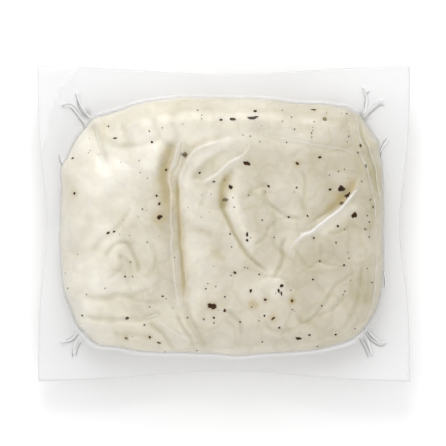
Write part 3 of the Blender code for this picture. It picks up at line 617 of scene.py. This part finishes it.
def add_node(material, kind, links=None, values=None, **settings):
    """A node of a kind, with settings, socket values, and links from other nodes' outputs."""
    made = material.node_tree.nodes.new(kind)
    for key, value in settings.items():
        setattr(made, key, value)
    for socket, value in (values or {}).items():
        made.inputs[socket].default_value = value
    for socket, source in (links or {}).items():
        material.node_tree.links.new(source, made.inputs[socket])
    return made


def attributes(material, *names):
    """The outputs of the attributes that the mesh keeps under these names."""
    return [add_node(material, "ShaderNodeAttribute", attribute_name=name).outputs["Fac"]
            for name in names]


def colour_mix(material, factor, first, second, blend="MIX"):
    """The colour between two others, each a socket or a linear colour, as a socket."""
    made = add_node(material, "ShaderNodeMix", {"Factor": factor}, data_type="RGBA", blend_type=blend)
    for socket, colour in ((6, first), (7, second)):
        if isinstance(colour, tuple):
            made.inputs[socket].default_value = colour
        else:
            material.node_tree.links.new(colour, made.inputs[socket])
    return made.outputs[2]


# %% [markdown]
# ## Cheese material
# Halloumi is a fresh cheese, pressed and scalded: close, moist and ivory, with light passing a few
# millimetres into it. Subsurface scattering gives that soft edge between light and shade. The creases
# are painted warmer and darker as shade, and the face darker to the right and paler on its lit bulges,
# which attributes on the mesh tell the material.

# %% Cheese
def cheese_material():
    """Pressed fresh curd: ivory, moist, translucent, and painted warmer and darker as shade in its
    creases.
    """
    material, output = new_material("pressed_halloumi_curd")
    place = add_node(material, "ShaderNodeTexCoord").outputs["Object"]
    hollow, stain_and_shade, tone_and_shade = attributes(material, "hollow", "stain_and_shade", "tone_and_shade")
    # Ivory on the left and sallow on the right, a slow drift of painted shade away from the light, with
    # random patches of tone, paler as painted light on lit bulges and darker by the seam.
    curd = colour_mix(material, tone_and_shade, hex_colour("e9e5d9"), hex_colour("c7bfad"))
    # Mottling about 6 mm across, too faint to see as spots, keeps the face from looking cast.
    blotch = add_node(material, "ShaderNodeTexNoise", {"Vector": place},
                      {"Scale": 160.0, "Detail": 4.0, "Roughness": 0.65, "Distortion": 0.8})
    patchy = add_node(material, "ShaderNodeMapRange", {"Value": blotch.outputs["Fac"]},
                      {"From Min": 0.36, "From Max": 0.64})
    mottled = colour_mix(material, patchy.outputs[0], curd, (0.915, 0.91, 0.925, 1.0), "MULTIPLY")
    # The joints between lumps of curd, about 9 mm across, show as thin soft veins where the tone is
    # darker.
    wander = add_node(material, "ShaderNodeTexNoise", {"Vector": place},
                      {"Scale": 190.0, "Detail": 2.0})
    bent = add_node(material, "ShaderNodeVectorMath", {0: wander.outputs["Color"], 2: place},
                    {1: (0.007, 0.007, 0.007)}, operation="MULTIPLY_ADD")
    lumps = add_node(material, "ShaderNodeTexVoronoi", {"Vector": bent.outputs[0]}, {"Scale": 105.0},
                     feature="DISTANCE_TO_EDGE")
    joint = add_node(material, "ShaderNodeMapRange", {"Value": lumps.outputs["Distance"]},
                     {"From Min": 0.0, "From Max": 0.13, "To Min": 0.32, "To Max": 0.0},
                     interpolation_type="SMOOTHSTEP")
    knit = add_node(material, "ShaderNodeMath", {0: joint.outputs[0], 1: tone_and_shade},
                    operation="MULTIPLY")
    veins_and_crease_shade = add_node(material, "ShaderNodeMath", {0: knit.outputs[0], 1: hollow}, operation="ADD",
                      use_clamp=True)
    # The creases get an olive tint as painted shade, the joints the same tint, and mint leaves brown
    # stains, deepened by painted shade along some creases.
    creased = colour_mix(material, veins_and_crease_shade.outputs[0], mottled, hex_colour("b1a987"))
    stained_and_shaded = colour_mix(material, stain_and_shade, creased, hex_colour("b09a58"))
    # A grain under a millimetre breaks up the shine, which reads as moist cheese and not as plastic.
    grain = add_node(material, "ShaderNodeTexNoise", {"Vector": place},
                     {"Scale": 1200.0, "Detail": 3.0, "Roughness": 0.6})
    bump = add_node(material, "ShaderNodeBump", {"Height": grain.outputs["Fac"]},
                    {"Strength": 0.25, "Distance": 0.0001})
    shader = add_node(material, "ShaderNodeBsdfPrincipled",
                      {"Base Color": stained_and_shaded, "Normal": bump.outputs["Normal"]},
                      {"Roughness": 0.42, "IOR": 1.42, "Subsurface Weight": 0.6,
                       "Subsurface Scale": 0.0022, "Subsurface Radius": (1.0, 0.85, 0.62)})
    material.node_tree.links.new(shader.outputs["BSDF"], output.inputs["Surface"])
    return material


# %% [markdown]
# ## Film material
# The pouch is a laminate of polyamide and polyethylene, blown and calendered until it is clear. Seen
# square on it shows almost only what lies behind it, with a faint milky haze, and at a glance it
# mirrors the lights. A Fresnel factor between a transparent and a glossy shader does just that.
# Refraction is left out, because a film this thin doesn't bend light.

# %% Film
def film_material():
    """Clear vacuum film: hardly seen square on, shiny at a glance, milky where welded, and white
    where pinched and where highlights are painted.
    """
    material, output = new_material("clear_polyamide_laminate")
    place = add_node(material, "ShaderNodeTexCoord").outputs["Object"]
    weld, pinch_and_highlight, gathered = attributes(material, "weld", "pinch_and_highlight", "gathered")
    crinkle = add_node(material, "ShaderNodeTexNoise", {"Vector": place},
                       {"Scale": 260.0, "Detail": 3.0, "Roughness": 0.5})
    bump = add_node(material, "ShaderNodeBump", {"Height": crinkle.outputs["Fac"]},
                    {"Strength": 0.2, "Distance": 0.0003})
    # How milky it is: hardly at all on the cheese, half so in the weld, and white on a sharp pleat,
    # partly stress whitening and partly a painted highlight; the gathers, the curl and the foot edge get
    # painted highlights too.
    welded = add_node(material, "ShaderNodeMath", {0: weld}, {1: WELD_HAZE, 2: FILM_HAZE},
                      operation="MULTIPLY_ADD")
    milky = add_node(material, "ShaderNodeMath", {0: pinch_and_highlight, 2: welded.outputs[0]}, {1: PINCH_AND_HIGHLIGHT_HAZE},
                     operation="MULTIPLY_ADD", use_clamp=True)
    # What lies behind is dimmed a little by two webs, and much more by the layers of a gather.
    doubled = colour_mix(material, weld, (0.985, 0.985, 0.98, 1.0), (0.945, 0.945, 0.945, 1.0))
    bunched = colour_mix(material, gathered, doubled, (0.30, 0.31, 0.30, 1.0))
    clear = add_node(material, "ShaderNodeBsdfTransparent", {"Color": bunched})
    layered = add_node(material, "ShaderNodeMath", {0: gathered, 1: pinch_and_highlight}, operation="SUBTRACT",
                       use_clamp=True)
    milk = colour_mix(material, layered.outputs[0], (0.86, 0.86, 0.865, 1.0), (0.42, 0.43, 0.42, 1.0))
    haze = add_node(material, "ShaderNodeBsdfDiffuse", {"Color": milk})
    # The gloss is held low, so the lights leave thin glints on the pleats and no glare on the face.
    gloss = add_node(material, "ShaderNodeBsdfGlossy", {"Normal": bump.outputs["Normal"]},
                     {"Roughness": 0.18, "Color": (1.0, 1.0, 1.0, 1.0)})
    glance = add_node(material, "ShaderNodeFresnel", {"Normal": bump.outputs["Normal"]}, {"IOR": 1.5})
    mirror = add_node(material, "ShaderNodeMath", {0: glance.outputs[0]}, {1: FILM_SHINE},
                      operation="MULTIPLY")
    shine = add_node(material, "ShaderNodeMath", {0: mirror.outputs[0]}, {1: MOST_SHINE},
                     operation="MINIMUM")
    body = add_node(material, "ShaderNodeMixShader", {0: milky.outputs[0], 1: clear.outputs[0],
                                                      2: haze.outputs[0]})
    skin = add_node(material, "ShaderNodeMixShader",
                    {0: shine.outputs[0], 1: body.outputs[0], 2: gloss.outputs[0]})
    material.node_tree.links.new(skin.outputs[0], output.inputs["Surface"])
    return material


# %% [markdown]
# ## Mint
# The flakes are crumbled dried mint. Soaked with whey they are almost black, with a little green and
# brown left. Leaf is thin and matt, so there is no gloss in it.

# %% Mint
def leaf_material(name, dark, light):
    """Soaked dry leaf: matt, uneven and very dark."""
    material, output = new_material(name)
    place = add_node(material, "ShaderNodeTexCoord").outputs["Object"]
    veins = add_node(material, "ShaderNodeTexNoise", {"Vector": place},
                     {"Scale": 1500.0, "Detail": 2.0, "Roughness": 0.6})
    tone = colour_mix(material, veins.outputs["Fac"], hex_colour(dark), hex_colour(light))
    shader = add_node(material, "ShaderNodeBsdfDiffuse", {"Color": tone})
    material.node_tree.links.new(shader.outputs[0], output.inputs["Surface"])
    return material


CHEESE = cheese_material()
FILM = film_material()
DARK_MINT = leaf_material("soaked_mint", "130b04", "5f3d18")
PALE_MINT = leaf_material("mint_below_the_surface", "6d6348", "978a68")

# %% [markdown]
# ## Where the mint and the tones lie
# Dried mint is strewn on the slab before it is folded, so flakes lie on it and in it, and whey
# carries their colour into the curd round them. Each flake that can be told apart has a row, and the
# rest are strewn at random, because no two packs have them alike.

# %% Places of flakes, stains and tones
# Place, length, width and turn of the flakes that can be told apart, in millimetres and degrees.
DARK_FLAKES = (
    (-4.2, -28.5, 3.4, 1.9, -20), (40.6, 12.2, 2.4, 2.1, -30), (42.9, 10, 2.3, 1.1, 55),
    (2.4, 12.6, 1.4, 1.8, 10), (9.8, 36.8, 3.1, 1.3, -6), (3.1, 36.4, 2.4, 1.0, 8),
    (-1, 36.2, 1.4, 0.7, 0), (10.7, 39.2, 1.4, 1.0, 0), (31.1, 39.7, 1.8, 0.8, -6),
    (33.2, 23.1, 1.4, 0.8, 0), (8, 21, 2.6, 1.1, -30), (25.4, 21, 1.4, 1.0, 0),
    (-8.4, 17.8, 1.0, 1.0, 0), (-3.5, 14.7, 0.8, 0.7, 0), (15.4, 13.1, 1.0, 1.0, 0),
    (36.8, 11.9, 1.0, 1.0, 0), (45.1, 3, 1.8, 2.1, -10), (8, -3.5, 1.0, 1.4, 0),
    (8, -5.6, 1.0, 0.9, 0), (22.4, 2.4, 1.0, 0.8, 0), (39.5, -0.7, 0.9, 0.9, 0),
    (3.8, -16.8, 1.2, 1.0, 0), (9.2, -23.1, 1.0, 1.4, 0), (19.9, -21.5, 1.4, 1.2, 20),
    (18.9, -23.1, 1.0, 1.4, 0), (19.9, -24.1, 0.7, 1.4, 0), (14.3, -26.2, 1.0, 0.9, 0),
    (0.2, -29.9, 1.0, 1.4, 0), (25.9, -39.8, 2.1, 1.0, 8), (29.7, -38.5, 1.0, 0.7, 0),
    (-22.4, 2.3, 1.9, 1.4, 20), (23.6, -26.6, 1.0, 1.1, 0), (17.1, -32.6, 1.7, 0.8, 42),
    (-22.4, 7, 1.0, 0.9, 0), (-23.4, 9.8, 0.7, 1.0, 0), (-20.1, 18.7, 0.9, 1.0, 0),
    (-40.1, -3.1, 1.2, 1.0, 0), (-38.1, -2.6, 0.9, 0.7, 0), (-37.8, 29.8, 1.4, 0.7, 0),
    (-25, 28.4, 1.0, 1.0, 0), (-52.7, 22.9, 1.4, 0.7, 10), (-51.9, 10.6, 1.0, 1.0, 0),
    (-33.6, -32.7, 1.4, 1.0, 30), (-25.8, -39.2, 0.9, 1.0, 0), (-22.7, -41.2, 1.6, 0.7, -20),
    (-21.3, -25, 1.0, 0.6, 0), (47.4, 27.1, 0.9, 1.4, 10), (49.3, 20.1, 0.9, 1.4, 10),
)
# The pale ones, which lie under the surface or under folded film.
PALE_FLAKES = (
    (35, 36.4, 1.5, 1.3, 0), (-13.6, 24.1, 2.1, 1.5, -40), (0.3, 8.4, 1.8, 1.2, 30),
    (40.9, 7.3, 1.8, 1.4, 0), (-33.9, -39.7, 1.4, 0.9, 20), (49, -1.8, 1.0, 0.8, 0),
    (-7, -33, 0.9, 0.7, 60),
)
# The crumbs of mint: place and size.
SPECKS = (
    (-9.1, 39.5, 0.6), (-7.7, 37.8, 0.5), (-40.2, 33.9, 0.7), (-14.3, 34.6, 0.4), (-25.9, 32.2, 0.6),
    (-46.5, 25.5, 0.4), (-35.7, 21.3, 0.4), (-29.4, 22, 0.5), (-28.3, 5.2, 0.5), (-26.6, -6.3, 0.5),
    (-50.8, -10.5, 0.5), (-34.3, -18.2, 0.8), (-55.2, -17.1, 0.5), (-54.4, -22.4, 0.7),
    (-49.3, -31.8, 0.8), (-27.6, -35, 0.8), (-20.6, -44.6, 0.7), (-9.4, -44.1, 0.8),
    (-12.6, -32.5, 0.6), (-3.5, -32.5, 0.8), (-3.5, -34.3, 0.6), (-6.3, -22.4, 0.8),
    (-5.6, -20.6, 0.5), (-2.8, -21.7, 0.4), (0.3, -25.2, 0.6), (-3.5, -14.7, 0.4), (2.1, -3.5, 0.8),
    (2.4, -17.8, 0.5), (12.2, -17.5, 0.7), (13.3, 1.4, 0.6), (25.2, 12.6, 0.8), (29, 2.8, 0.8),
    (9.1, 30.4, 0.6), (6.6, 30.8, 0.4), (21.7, 28.3, 0.6), (24.5, 32.9, 0.7), (30.4, 31.5, 0.6),
    (30.4, 30.1, 0.5), (30.8, 33.6, 0.4), (20.3, 39.5, 0.6), (23.4, 37.1, 0.4), (42.7, 38.4, 0.7),
    (46.5, 24.8, 0.7), (31.1, -4.9, 0.8), (33.2, -12.9, 0.8), (41.6, -14.3, 0.8), (30.8, -19.2, 0.8),
    (38.8, -6.3, 0.5), (33.9, -28.3, 0.7), (41.3, -24.5, 0.5), (14, -31.8, 0.8), (19.2, -36, 0.8),
    (5.6, -33.9, 0.7), (13.3, -40.9, 0.7), (38.8, -38.4, 0.8), (45.5, -36.4, 0.7), (32.5, -42.6, 0.6),
    (51.4, -20.3, 0.7), (50.4, -4.5, 0.6), (49.7, -15.4, 0.4), (50.4, 0.7, 0.7), (51.8, 5.9, 0.7),
    (50.8, 8.4, 0.6),
)
# Place, radius and strength of the yellow and brown patches that soaked flakes leave in the curd.
STAINS = (
    ((-20.1, 18.7), 2.6, 0.55), ((-22.4, 2.3), 2.4, 0.5), ((40.6, 9.0), 2.6, 0.6),
    ((2.4, 12.6), 1.8, 0.45), ((9.9, -27.7), 1.7, 0.62), ((11, -28), 1.3, 0.55),
    ((-4.2, -28.5), 2.4, 0.35), ((-13.6, 24.1), 1.8, 0.3), ((0.3, 8.4), 1.4, 0.35),
    ((23.6, -26.6), 1.1, 0.95), ((17, -32.7), 1.5, 0.5), ((14.3, -26.4), 1.2, 0.35),
    ((25.4, 21), 1.2, 0.5), ((-33, -38), 9.0, 0.14), ((-30, -42), 6.0, 0.16),
    ((-26, -39.2), 1.4, 0.35), ((-34, -39.7), 1.6, 0.4), ((-51.9, 10.6), 1.4, 0.35),
    ((-2.4, -10.2), 2.6, 0.22), ((-8, -2.4), 1.1, 0.3),
)
# The same as lines, where whey and mint have steeped the curd along a fold, with painted shade in the
# crease as well: strength, a width for each side, and points.
STEEPED_AND_SHADED = (
    (0.5, 1.4, 0.5, ((-16.4, 16), (-16.2, 7), (-15.4, -3.8), (-14.5, -15.7), (-14, -27.6))),
    (0.4, 2.8, 2.4, ((-17.8, 26.5), (-19.9, 23), (-20.2, 18), (-19.8, 10), (-19.5, 1))),
    (0.2, 1.2, 1.2, ((-12.6, 28.5), (-14.7, 23.5), (-16.1, 19))),
    (0.2, 0.8, 0.8, ((-12.2, 26), (-7, 29), (0, 30.6))),
    (0.14, 1.2, 1.2, ((-12, -1), (-8, -2.4), (-3.5, -3.6))),
    (0.2, 1.3, 1.3, ((-42, 37), (-41.3, 32.5), (-42, 28))),
    (0.42, 2.2, 1.0, ((1.5, 18), (-0.3, 14), (-0.9, 9.5), (-0.3, 5))),
    (0.26, 0.9, 0.5, ((-0.3, 5), (2.2, -0.5), (5.5, -7), (8.5, -11.5))),
    (0.5, 0.8, 2.0, ((46, 15.5), (43.4, 10.8), (39.6, 7.2), (34.5, 3.8))),
)

# Painted light: where the curd is paler, along bulges and the band at the top that face the light, as
# the same kind of lines.
PAINTED_LIGHT_ON_BULGES = (
    (0.32, 2.4, 2.4, ((3.5, 15), (3.2, 8), (6.3, -1.5), (11.5, -10.5))),
    (0.6, 2.2, 2.2, ((46, 8), (39.5, 1.5), (32.5, -4))),
    (0.5, 3.0, 3.0, ((13, -17), (18, -20), (20, -26))),
    (0.5, 3.5, 3.5, ((-30, 30), (-25, 25), (-27, 18))),
    (0.35, 2.0, 2.0, ((-13, 10), (-12.5, 16), (-9, 21), (-3, 25), (3, 27.5))),
    (0.3, 3.2, 3.2, ((-36, 29), (-18, 30), (0, 30.5), (18, 29.5), (38, 28.5))),
)

# Painted shade: where it is darker, in the broad dip on both sides of the seam.
PAINTED_SHADE_BY_SEAM = (
    (0.55, 5.5, 5.5, ((-14.5, 8), (-18, 2), (-18.5, -6), (-18, -14), (-17, -22), (-18, -28))),
    (0.4, 5.0, 5.0, ((-18, 1), (-27, -1), (-36, -4.5))),
    (0.4, 4.5, 4.5, ((-20, -25), (-28, -27), (-33, -33))),
)

# %% [markdown]
# ## The block of cheese
# The cheese fills the pouch, a hair's breadth inside the film. The grid has no flange here: its edge
# is the line along which the two webs press on the slab's side. Its attributes are set from the same
# folds that shape it.


# %% Block of cheese
def cheese_block():
    """The folded slab, closed all round, with its painted crease shade, stains and tone kept as
    attributes.
    """
    routes = [fold[3] for fold in FOLDS.values()]
    bm = pillow_blank(CURD_CELLS, 1.0, routes, CURD_FINE)
    crease_shade_layer = bm.verts.layers.float.new("hollow")
    stain_and_shade_layer = bm.verts.layers.float.new("stain_and_shade")
    tone_and_shade_layer = bm.verts.layers.float.new("tone_and_shade")
    for is_upper, verts, grid in upper_and_lower(bm):
        plan, fall, _, _, level = pillow_plan(grid, 1.0, FILM_GAP)
        hollow = np.zeros(len(verts))
        stain_and_shade = np.zeros(len(verts))
        # Painted shade: darker from left to right, away from the light, with random patches of tone.
        across = np.clip((plan[:, 0] - PAINTED_SHADE_FROM) / PAINTED_SHADE_OVER, 0.0, 1.0)
        blotch = np.array([noise.noise(Vector((x / RIPE_PATCH, y / RIPE_PATCH, 1.5))) for x, y in plan])
        tone_shade = np.clip(0.1 + 0.8 * across + 0.35 * blotch, 0.0, 1.0)
        if is_upper:
            relief = upper_relief(plan) * smoothstep(fall * 1.6)
            slow = sum(swelling_height(plan, *swelling) for swelling in SWELLINGS)
            z = level + FILM_GAP + (RISE_ABOVE_SEAL - 2 * FILM_GAP) * fall + relief
            # Painted shade: the deeper a crease lies below the broad swellings, the darker it is painted.
            hollow = np.clip(-(relief - slow) / DARKEST_DEPTH, 0.0, 1.0) ** 1.15
            for spot in STAINS:
                stain_and_shade = np.maximum(stain_and_shade, patch(plan, *spot))
            # Along some folds the stain is deepened by painted shade in the crease.
            for line in STEEPED_AND_SHADED:
                stain_and_shade = np.maximum(stain_and_shade, fold_height(plan, *line) / MM)
            # Painted light: paler along the lit bulges.
            for line in PAINTED_LIGHT_ON_BULGES:
                tone_shade = np.maximum(tone_shade - fold_height(plan, *line) / MM, 0)
            # Painted shade: darker in the dip by the seam.
            for line in PAINTED_SHADE_BY_SEAM:
                tone_shade += fold_height(plan, *line) / MM
        else:
            sag = curd_unevenness(plan, level=9.0) * fall
            z = np.maximum(level - FILM_GAP - DROP_BELOW_SEAL * fall + sag, FILM_GAP)
        for vert, x_y, height, deep, marked, toned in zip(verts, plan, z, hollow, stain_and_shade, tone_shade):
            vert.co = (*x_y, height)
            vert[crease_shade_layer] = deep
            vert[stain_and_shade_layer] = marked
            vert[tone_and_shade_layer] = toned
    return finished(bm, "halloumi", CHEESE)


halloumi = cheese_block()

# %% [markdown]
# ## The film
# The same pillow, a little larger, with the flange round it. The film bridges the deep creases
# instead of lining them, so its relief is held back there, and its own pleats and the gathers at the
# corners are added. It is one closed skin, as the real pouch is.


# %% Vacuum film
def vacuum_film():
    """The pouch's two webs, drawn over the cheese and welded into the flange."""
    routes = [line[-1] for line in (*FILM_PLEATS, *GATHERS, *GATHER_LINES)]
    bm = pillow_blank(FILM_CELLS, SLAB_SHARE, routes, FILM_FINE)
    weld_layer = bm.verts.layers.float.new("weld")
    pinch_and_highlight_layer = bm.verts.layers.float.new("pinch_and_highlight")
    gather_layer = bm.verts.layers.float.new("gathered")
    for is_upper, verts, grid in upper_and_lower(bm):
        plan, fall, out, reach, level = pillow_plan(grid, SLAB_SHARE, 0.0)
        fillet_width, fillet_height = FILM_FILLET
        run_out = np.clip(reach / fillet_width, 0, 1)
        fillet = fillet_height * (1.0 - smoothstep(run_out)) * (1.0 - 0.4 * run_out)
        side, rise = (1.0, RISE_ABOVE_SEAL) if is_upper else (-1.0, DROP_BELOW_SEAL)
        height = np.where(out > 0, fillet, fillet_height + (rise - fillet_height) * fall)
        z = level + side * (height + FLANGE_THICKNESS / 2)
        weld = smoothstep(reach / WELD_WIDTH)
        pinch_and_highlight, gathered = np.zeros(len(verts)), np.zeros(len(verts))
        if is_upper:
            relief = upper_relief(plan)
            bridged = BRIDGED_BELOW + BRIDGED_SHARE * (relief - BRIDGED_BELOW)
            relief = np.where(relief < BRIDGED_BELOW, bridged, relief)
            z += relief * np.where(out > 0, 0.0, smoothstep(fall * 1.6))
            drawn = swayed(plan)
            for tall, left_width, right_width, whiteness, points in FILM_PLEATS:
                pleat = fold_height(drawn, tall, left_width, right_width, points)
                z += pleat
                # The crest is painted white: part stress whitening, part painted highlight.
                pinch_and_highlight = np.maximum(pinch_and_highlight, whiteness * pleat / (tall * MM))
            for tall, width, points in GATHERS:
                web = fold_height(plan, tall, width, width, points)
                z += web
                gathered = np.maximum(gathered, 0.55 * web / (tall * MM))
                # A painted highlight along the gather's crest.
                pinch_and_highlight = np.maximum(pinch_and_highlight, 0.9 * (web / (tall * MM)) ** 8)
            for tall, width, points in GATHER_LINES:
                line = fold_height(drawn, tall, width, width, points)
                z += line
                gathered = np.maximum(gathered, line / (tall * MM))
            for bunch in BUNCHES:
                gathered = np.maximum(gathered, patch(plan, *bunch, power=4))
            # Along the slab's lower edge, where the film leaves the cheese for the weld, a highlight is
            # painted on it in white.
            near_foot = smoothstep((-plan[:, 1] / MM - 28) / 12)
            foot_highlight = np.exp(-((reach / MM - 0.9) / 0.6) ** 2) * near_foot
            pinch_and_highlight = np.maximum(pinch_and_highlight, 0.9 * np.where(out > 0, foot_highlight, 0.0))
            # The gathers end on the flange and leave the slab's steep side clear.
            on_wall = smoothstep(fall / 0.1) * (1.0 - smoothstep((fall - 0.6) / 0.3))
            gathered *= np.where(out > 0, 1.0, 1.0 - 0.9 * on_wall)
            # The upper left corner curls up, and beyond the curl a highlight is painted on it in white.
            distance, inside, _ = beside(plan, smooth_route(mm(*CURL)))
            curl_highlight = np.where(inside, 0.0, smoothstep(distance / (1.2 * MM)))
            pinch_and_highlight = np.maximum(pinch_and_highlight, 0.6 * curl_highlight)
            z += 0.8 * MM * np.where(inside, 0.0, smoothstep(distance / (7 * MM)))
        else:
            z = np.maximum(z + curd_unevenness(plan, level=9.0) * fall, 0.0)
        for vert, x_y, up, welded, pinched, bunched in zip(verts, plan, z, weld, pinch_and_highlight, gathered):
            vert.co = (*x_y, up)
            vert[weld_layer] = welded
            vert[pinch_and_highlight_layer] = pinched
            vert[gather_layer] = bunched ** 2
    return finished(bm, "vacuum_film", FILM)


film = vacuum_film()

# %% [markdown]
# ## Mint flakes
# A flake is a flat plate with nine corners, pushed in and out at random, laid on the cheese by a ray
# cast from above and tilted to its slope. A bigger one is four plates that cross, because a torn leaf
# has notches. All flakes of one kind are one mesh, which keeps the scene light. The draws are seeded,
# so every run gives the same flakes.


# %% Flakes
MINT_SEED = 11
RANDOM_SPECKS = 70
LEAF_CORNERS = 9
RAGGEDNESS = 0.45
# The plates' thickness in millimetres, and the area in square millimetres above which plates cross.
LEAF_THICKNESS = 0.30
CROSSED_ABOVE = 2.0


def leaf_plate(bm, draw):
    """A flat torn bit of leaf, about one unit across, added to the bmesh; returns its vertices."""
    rim = bmesh.ops.create_circle(bm, segments=LEAF_CORNERS, radius=0.5, cap_ends=True)["verts"]
    for vert in rim:
        vert.co.xy *= 1.1 + RAGGEDNESS * draw.uniform(-1.0, 0.6)
    faces = list({face for vert in rim for face in vert.link_faces})
    lifted = bmesh.ops.extrude_face_region(bm, geom=faces)["geom"]
    top = [item for item in lifted if isinstance(item, bmesh.types.BMVert)]
    bmesh.ops.scale(bm, vec=Vector((0.85, 0.85, 1.0)), verts=top)
    bmesh.ops.translate(bm, vec=Vector((0, 0, 0.5)), verts=top)
    bmesh.ops.translate(bm, vec=Vector((0, 0, -0.5)), verts=rim)
    return rim + top


def lay_flakes(name, rows, material, draw):
    """One mesh of flakes, each a torn plate lying on the cheese; the bigger ones are crossed plates."""
    tree = BVHTree.FromObject(halloumi, bpy.context.evaluated_depsgraph_get())
    whole = bmesh.new()
    for x, y, length, width, turn in rows:
        place, normal, _, _ = tree.ray_cast(Vector((x * MM, y * MM, 1.0)), Vector((0, 0, -1)))
        if place is None:
            continue
        lie = Vector((0, 0, 1)).rotation_difference(normal).to_matrix().to_4x4()
        plates = [(0.0, 0.0, 1.0, 0.0)]
        if length * width > CROSSED_ABOVE:
            plates += [(draw.uniform(-0.38, 0.38), draw.uniform(-0.3, 0.3), 0.6, draw.uniform(-40, 40))
                       for _ in range(3)]
        for across, up, share, swing in plates:
            made = leaf_plate(whole, draw)
            size = Vector((length * share * MM, width * share * MM, LEAF_THICKNESS * MM))
            bmesh.ops.scale(whole, vec=size, verts=made)
            shift = Matrix.Translation(Vector((across * length * MM, up * width * MM, 0)))
            spin = Matrix.Rotation(math.radians(turn + swing), 4, "Z")
            move = Matrix.Translation(place) @ lie @ shift @ spin
            bmesh.ops.transform(whole, matrix=move, verts=made)
    return finished(whole, name, material)


draw = random.Random(MINT_SEED)
speck_rows = [(x, y, size, size * draw.uniform(0.7, 1.0), draw.uniform(0, 180))
              for x, y, size in SPECKS]
for _ in range(RANDOM_SPECKS):
    size = draw.uniform(0.25, 0.5)
    speck_rows.append((draw.uniform(-50, 52), draw.uniform(-40, 40), size, size, draw.uniform(0, 180)))
mint_flakes = lay_flakes("mint_flakes", DARK_FLAKES, DARK_MINT, draw)
mint_specks = lay_flakes("mint_specks", speck_rows, DARK_MINT, draw)
sunk_mint = lay_flakes("sunk_mint", PALE_FLAKES, PALE_MINT, draw)

# %% Riding on the frame
for piece, slot in ((halloumi, "cheese"), (film, "film"), (mint_flakes, "mint"), (mint_specks, "mint"),
                    (sunk_mint, "mint")):
    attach(piece, "root")
    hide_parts("vacuum_pouch")

# %% [markdown]
# ## Floor, light and camera
# The pack lies on a white table. A soft key light stands beyond its upper edge, with weaker ones on
# the left and at the foot, and the white room fills the rest. The lens is long and far away, so that
# the picture has hardly any perspective, and looks straight down.

# %% Floor
FLOOR_HALF = 1.5


def plain_floor():
    """A matt white table top."""
    bm = bmesh.new()
    bmesh.ops.create_grid(bm, x_segments=1, y_segments=1, size=FLOOR_HALF)
    material, output = new_material("white_table")
    shader = add_node(material, "ShaderNodeBsdfDiffuse", values={"Color": (0.92, 0.92, 0.92, 1.0)})
    material.node_tree.links.new(shader.outputs[0], output.inputs["Surface"])
    return finished(bm, "white_floor", material)


plain_floor()


# %% Lights, room and camera
# Each light's name, place, size and power, and the point near the pack's middle that it looks at.
LIGHTS = (
    ("key", (-0.05, 0.56, 0.44), 0.38, 2.6),
    ("left", (-0.50, 0.10, 0.55), 0.60, 0.7),
    ("foot", (0.28, -0.52, 0.48), 0.60, 1.6),
)
LIT_POINT = Vector((0, 0, 0.01))
ROOM_BRIGHTNESS = 0.72


def soft_light(name, place, size, power):
    """A square soft box that looks at the pack."""
    light = bpy.data.lights.new(name, "AREA")
    light.shape = "SQUARE"
    light.size = size
    light.energy = power
    lamp = bpy.data.objects.new(name, light)
    lamp.location = place
    lamp.rotation_euler = (LIT_POINT - Vector(place)).to_track_quat("-Z", "Y").to_euler()
    bpy.context.scene.collection.objects.link(lamp)


for light in LIGHTS:
    soft_light(*light)

room = bpy.data.worlds.new("white_room")
room.use_nodes = True
room.node_tree.nodes["Background"].inputs["Color"].default_value = (1, 1, 1, 1)
room.node_tree.nodes["Background"].inputs["Strength"].default_value = ROOM_BRIGHTNESS
bpy.context.scene.world = room
bpy.context.scene.view_settings.view_transform = "Standard"

# The picture shows 0.35 mm of the pack to a pixel at the level of the weld.
CAMERA_HEIGHT = 1.5
SCALED_LEVEL = 0.011
MM_PER_PIXEL = 0.35
PICTURE_PIXELS = 446
SENSOR_WIDTH = 36.0
lens = bpy.data.cameras.new("camera")
lens.sensor_width = SENSOR_WIDTH
lens.lens = SENSOR_WIDTH * (CAMERA_HEIGHT - SCALED_LEVEL) / (PICTURE_PIXELS * MM_PER_PIXEL * MM)
lens.clip_end = 10.0
camera = bpy.data.objects.new("camera", lens)
camera.location = (-0.00035, 0.00035, CAMERA_HEIGHT)
bpy.context.scene.collection.objects.link(camera)
bpy.context.scene.camera = camera
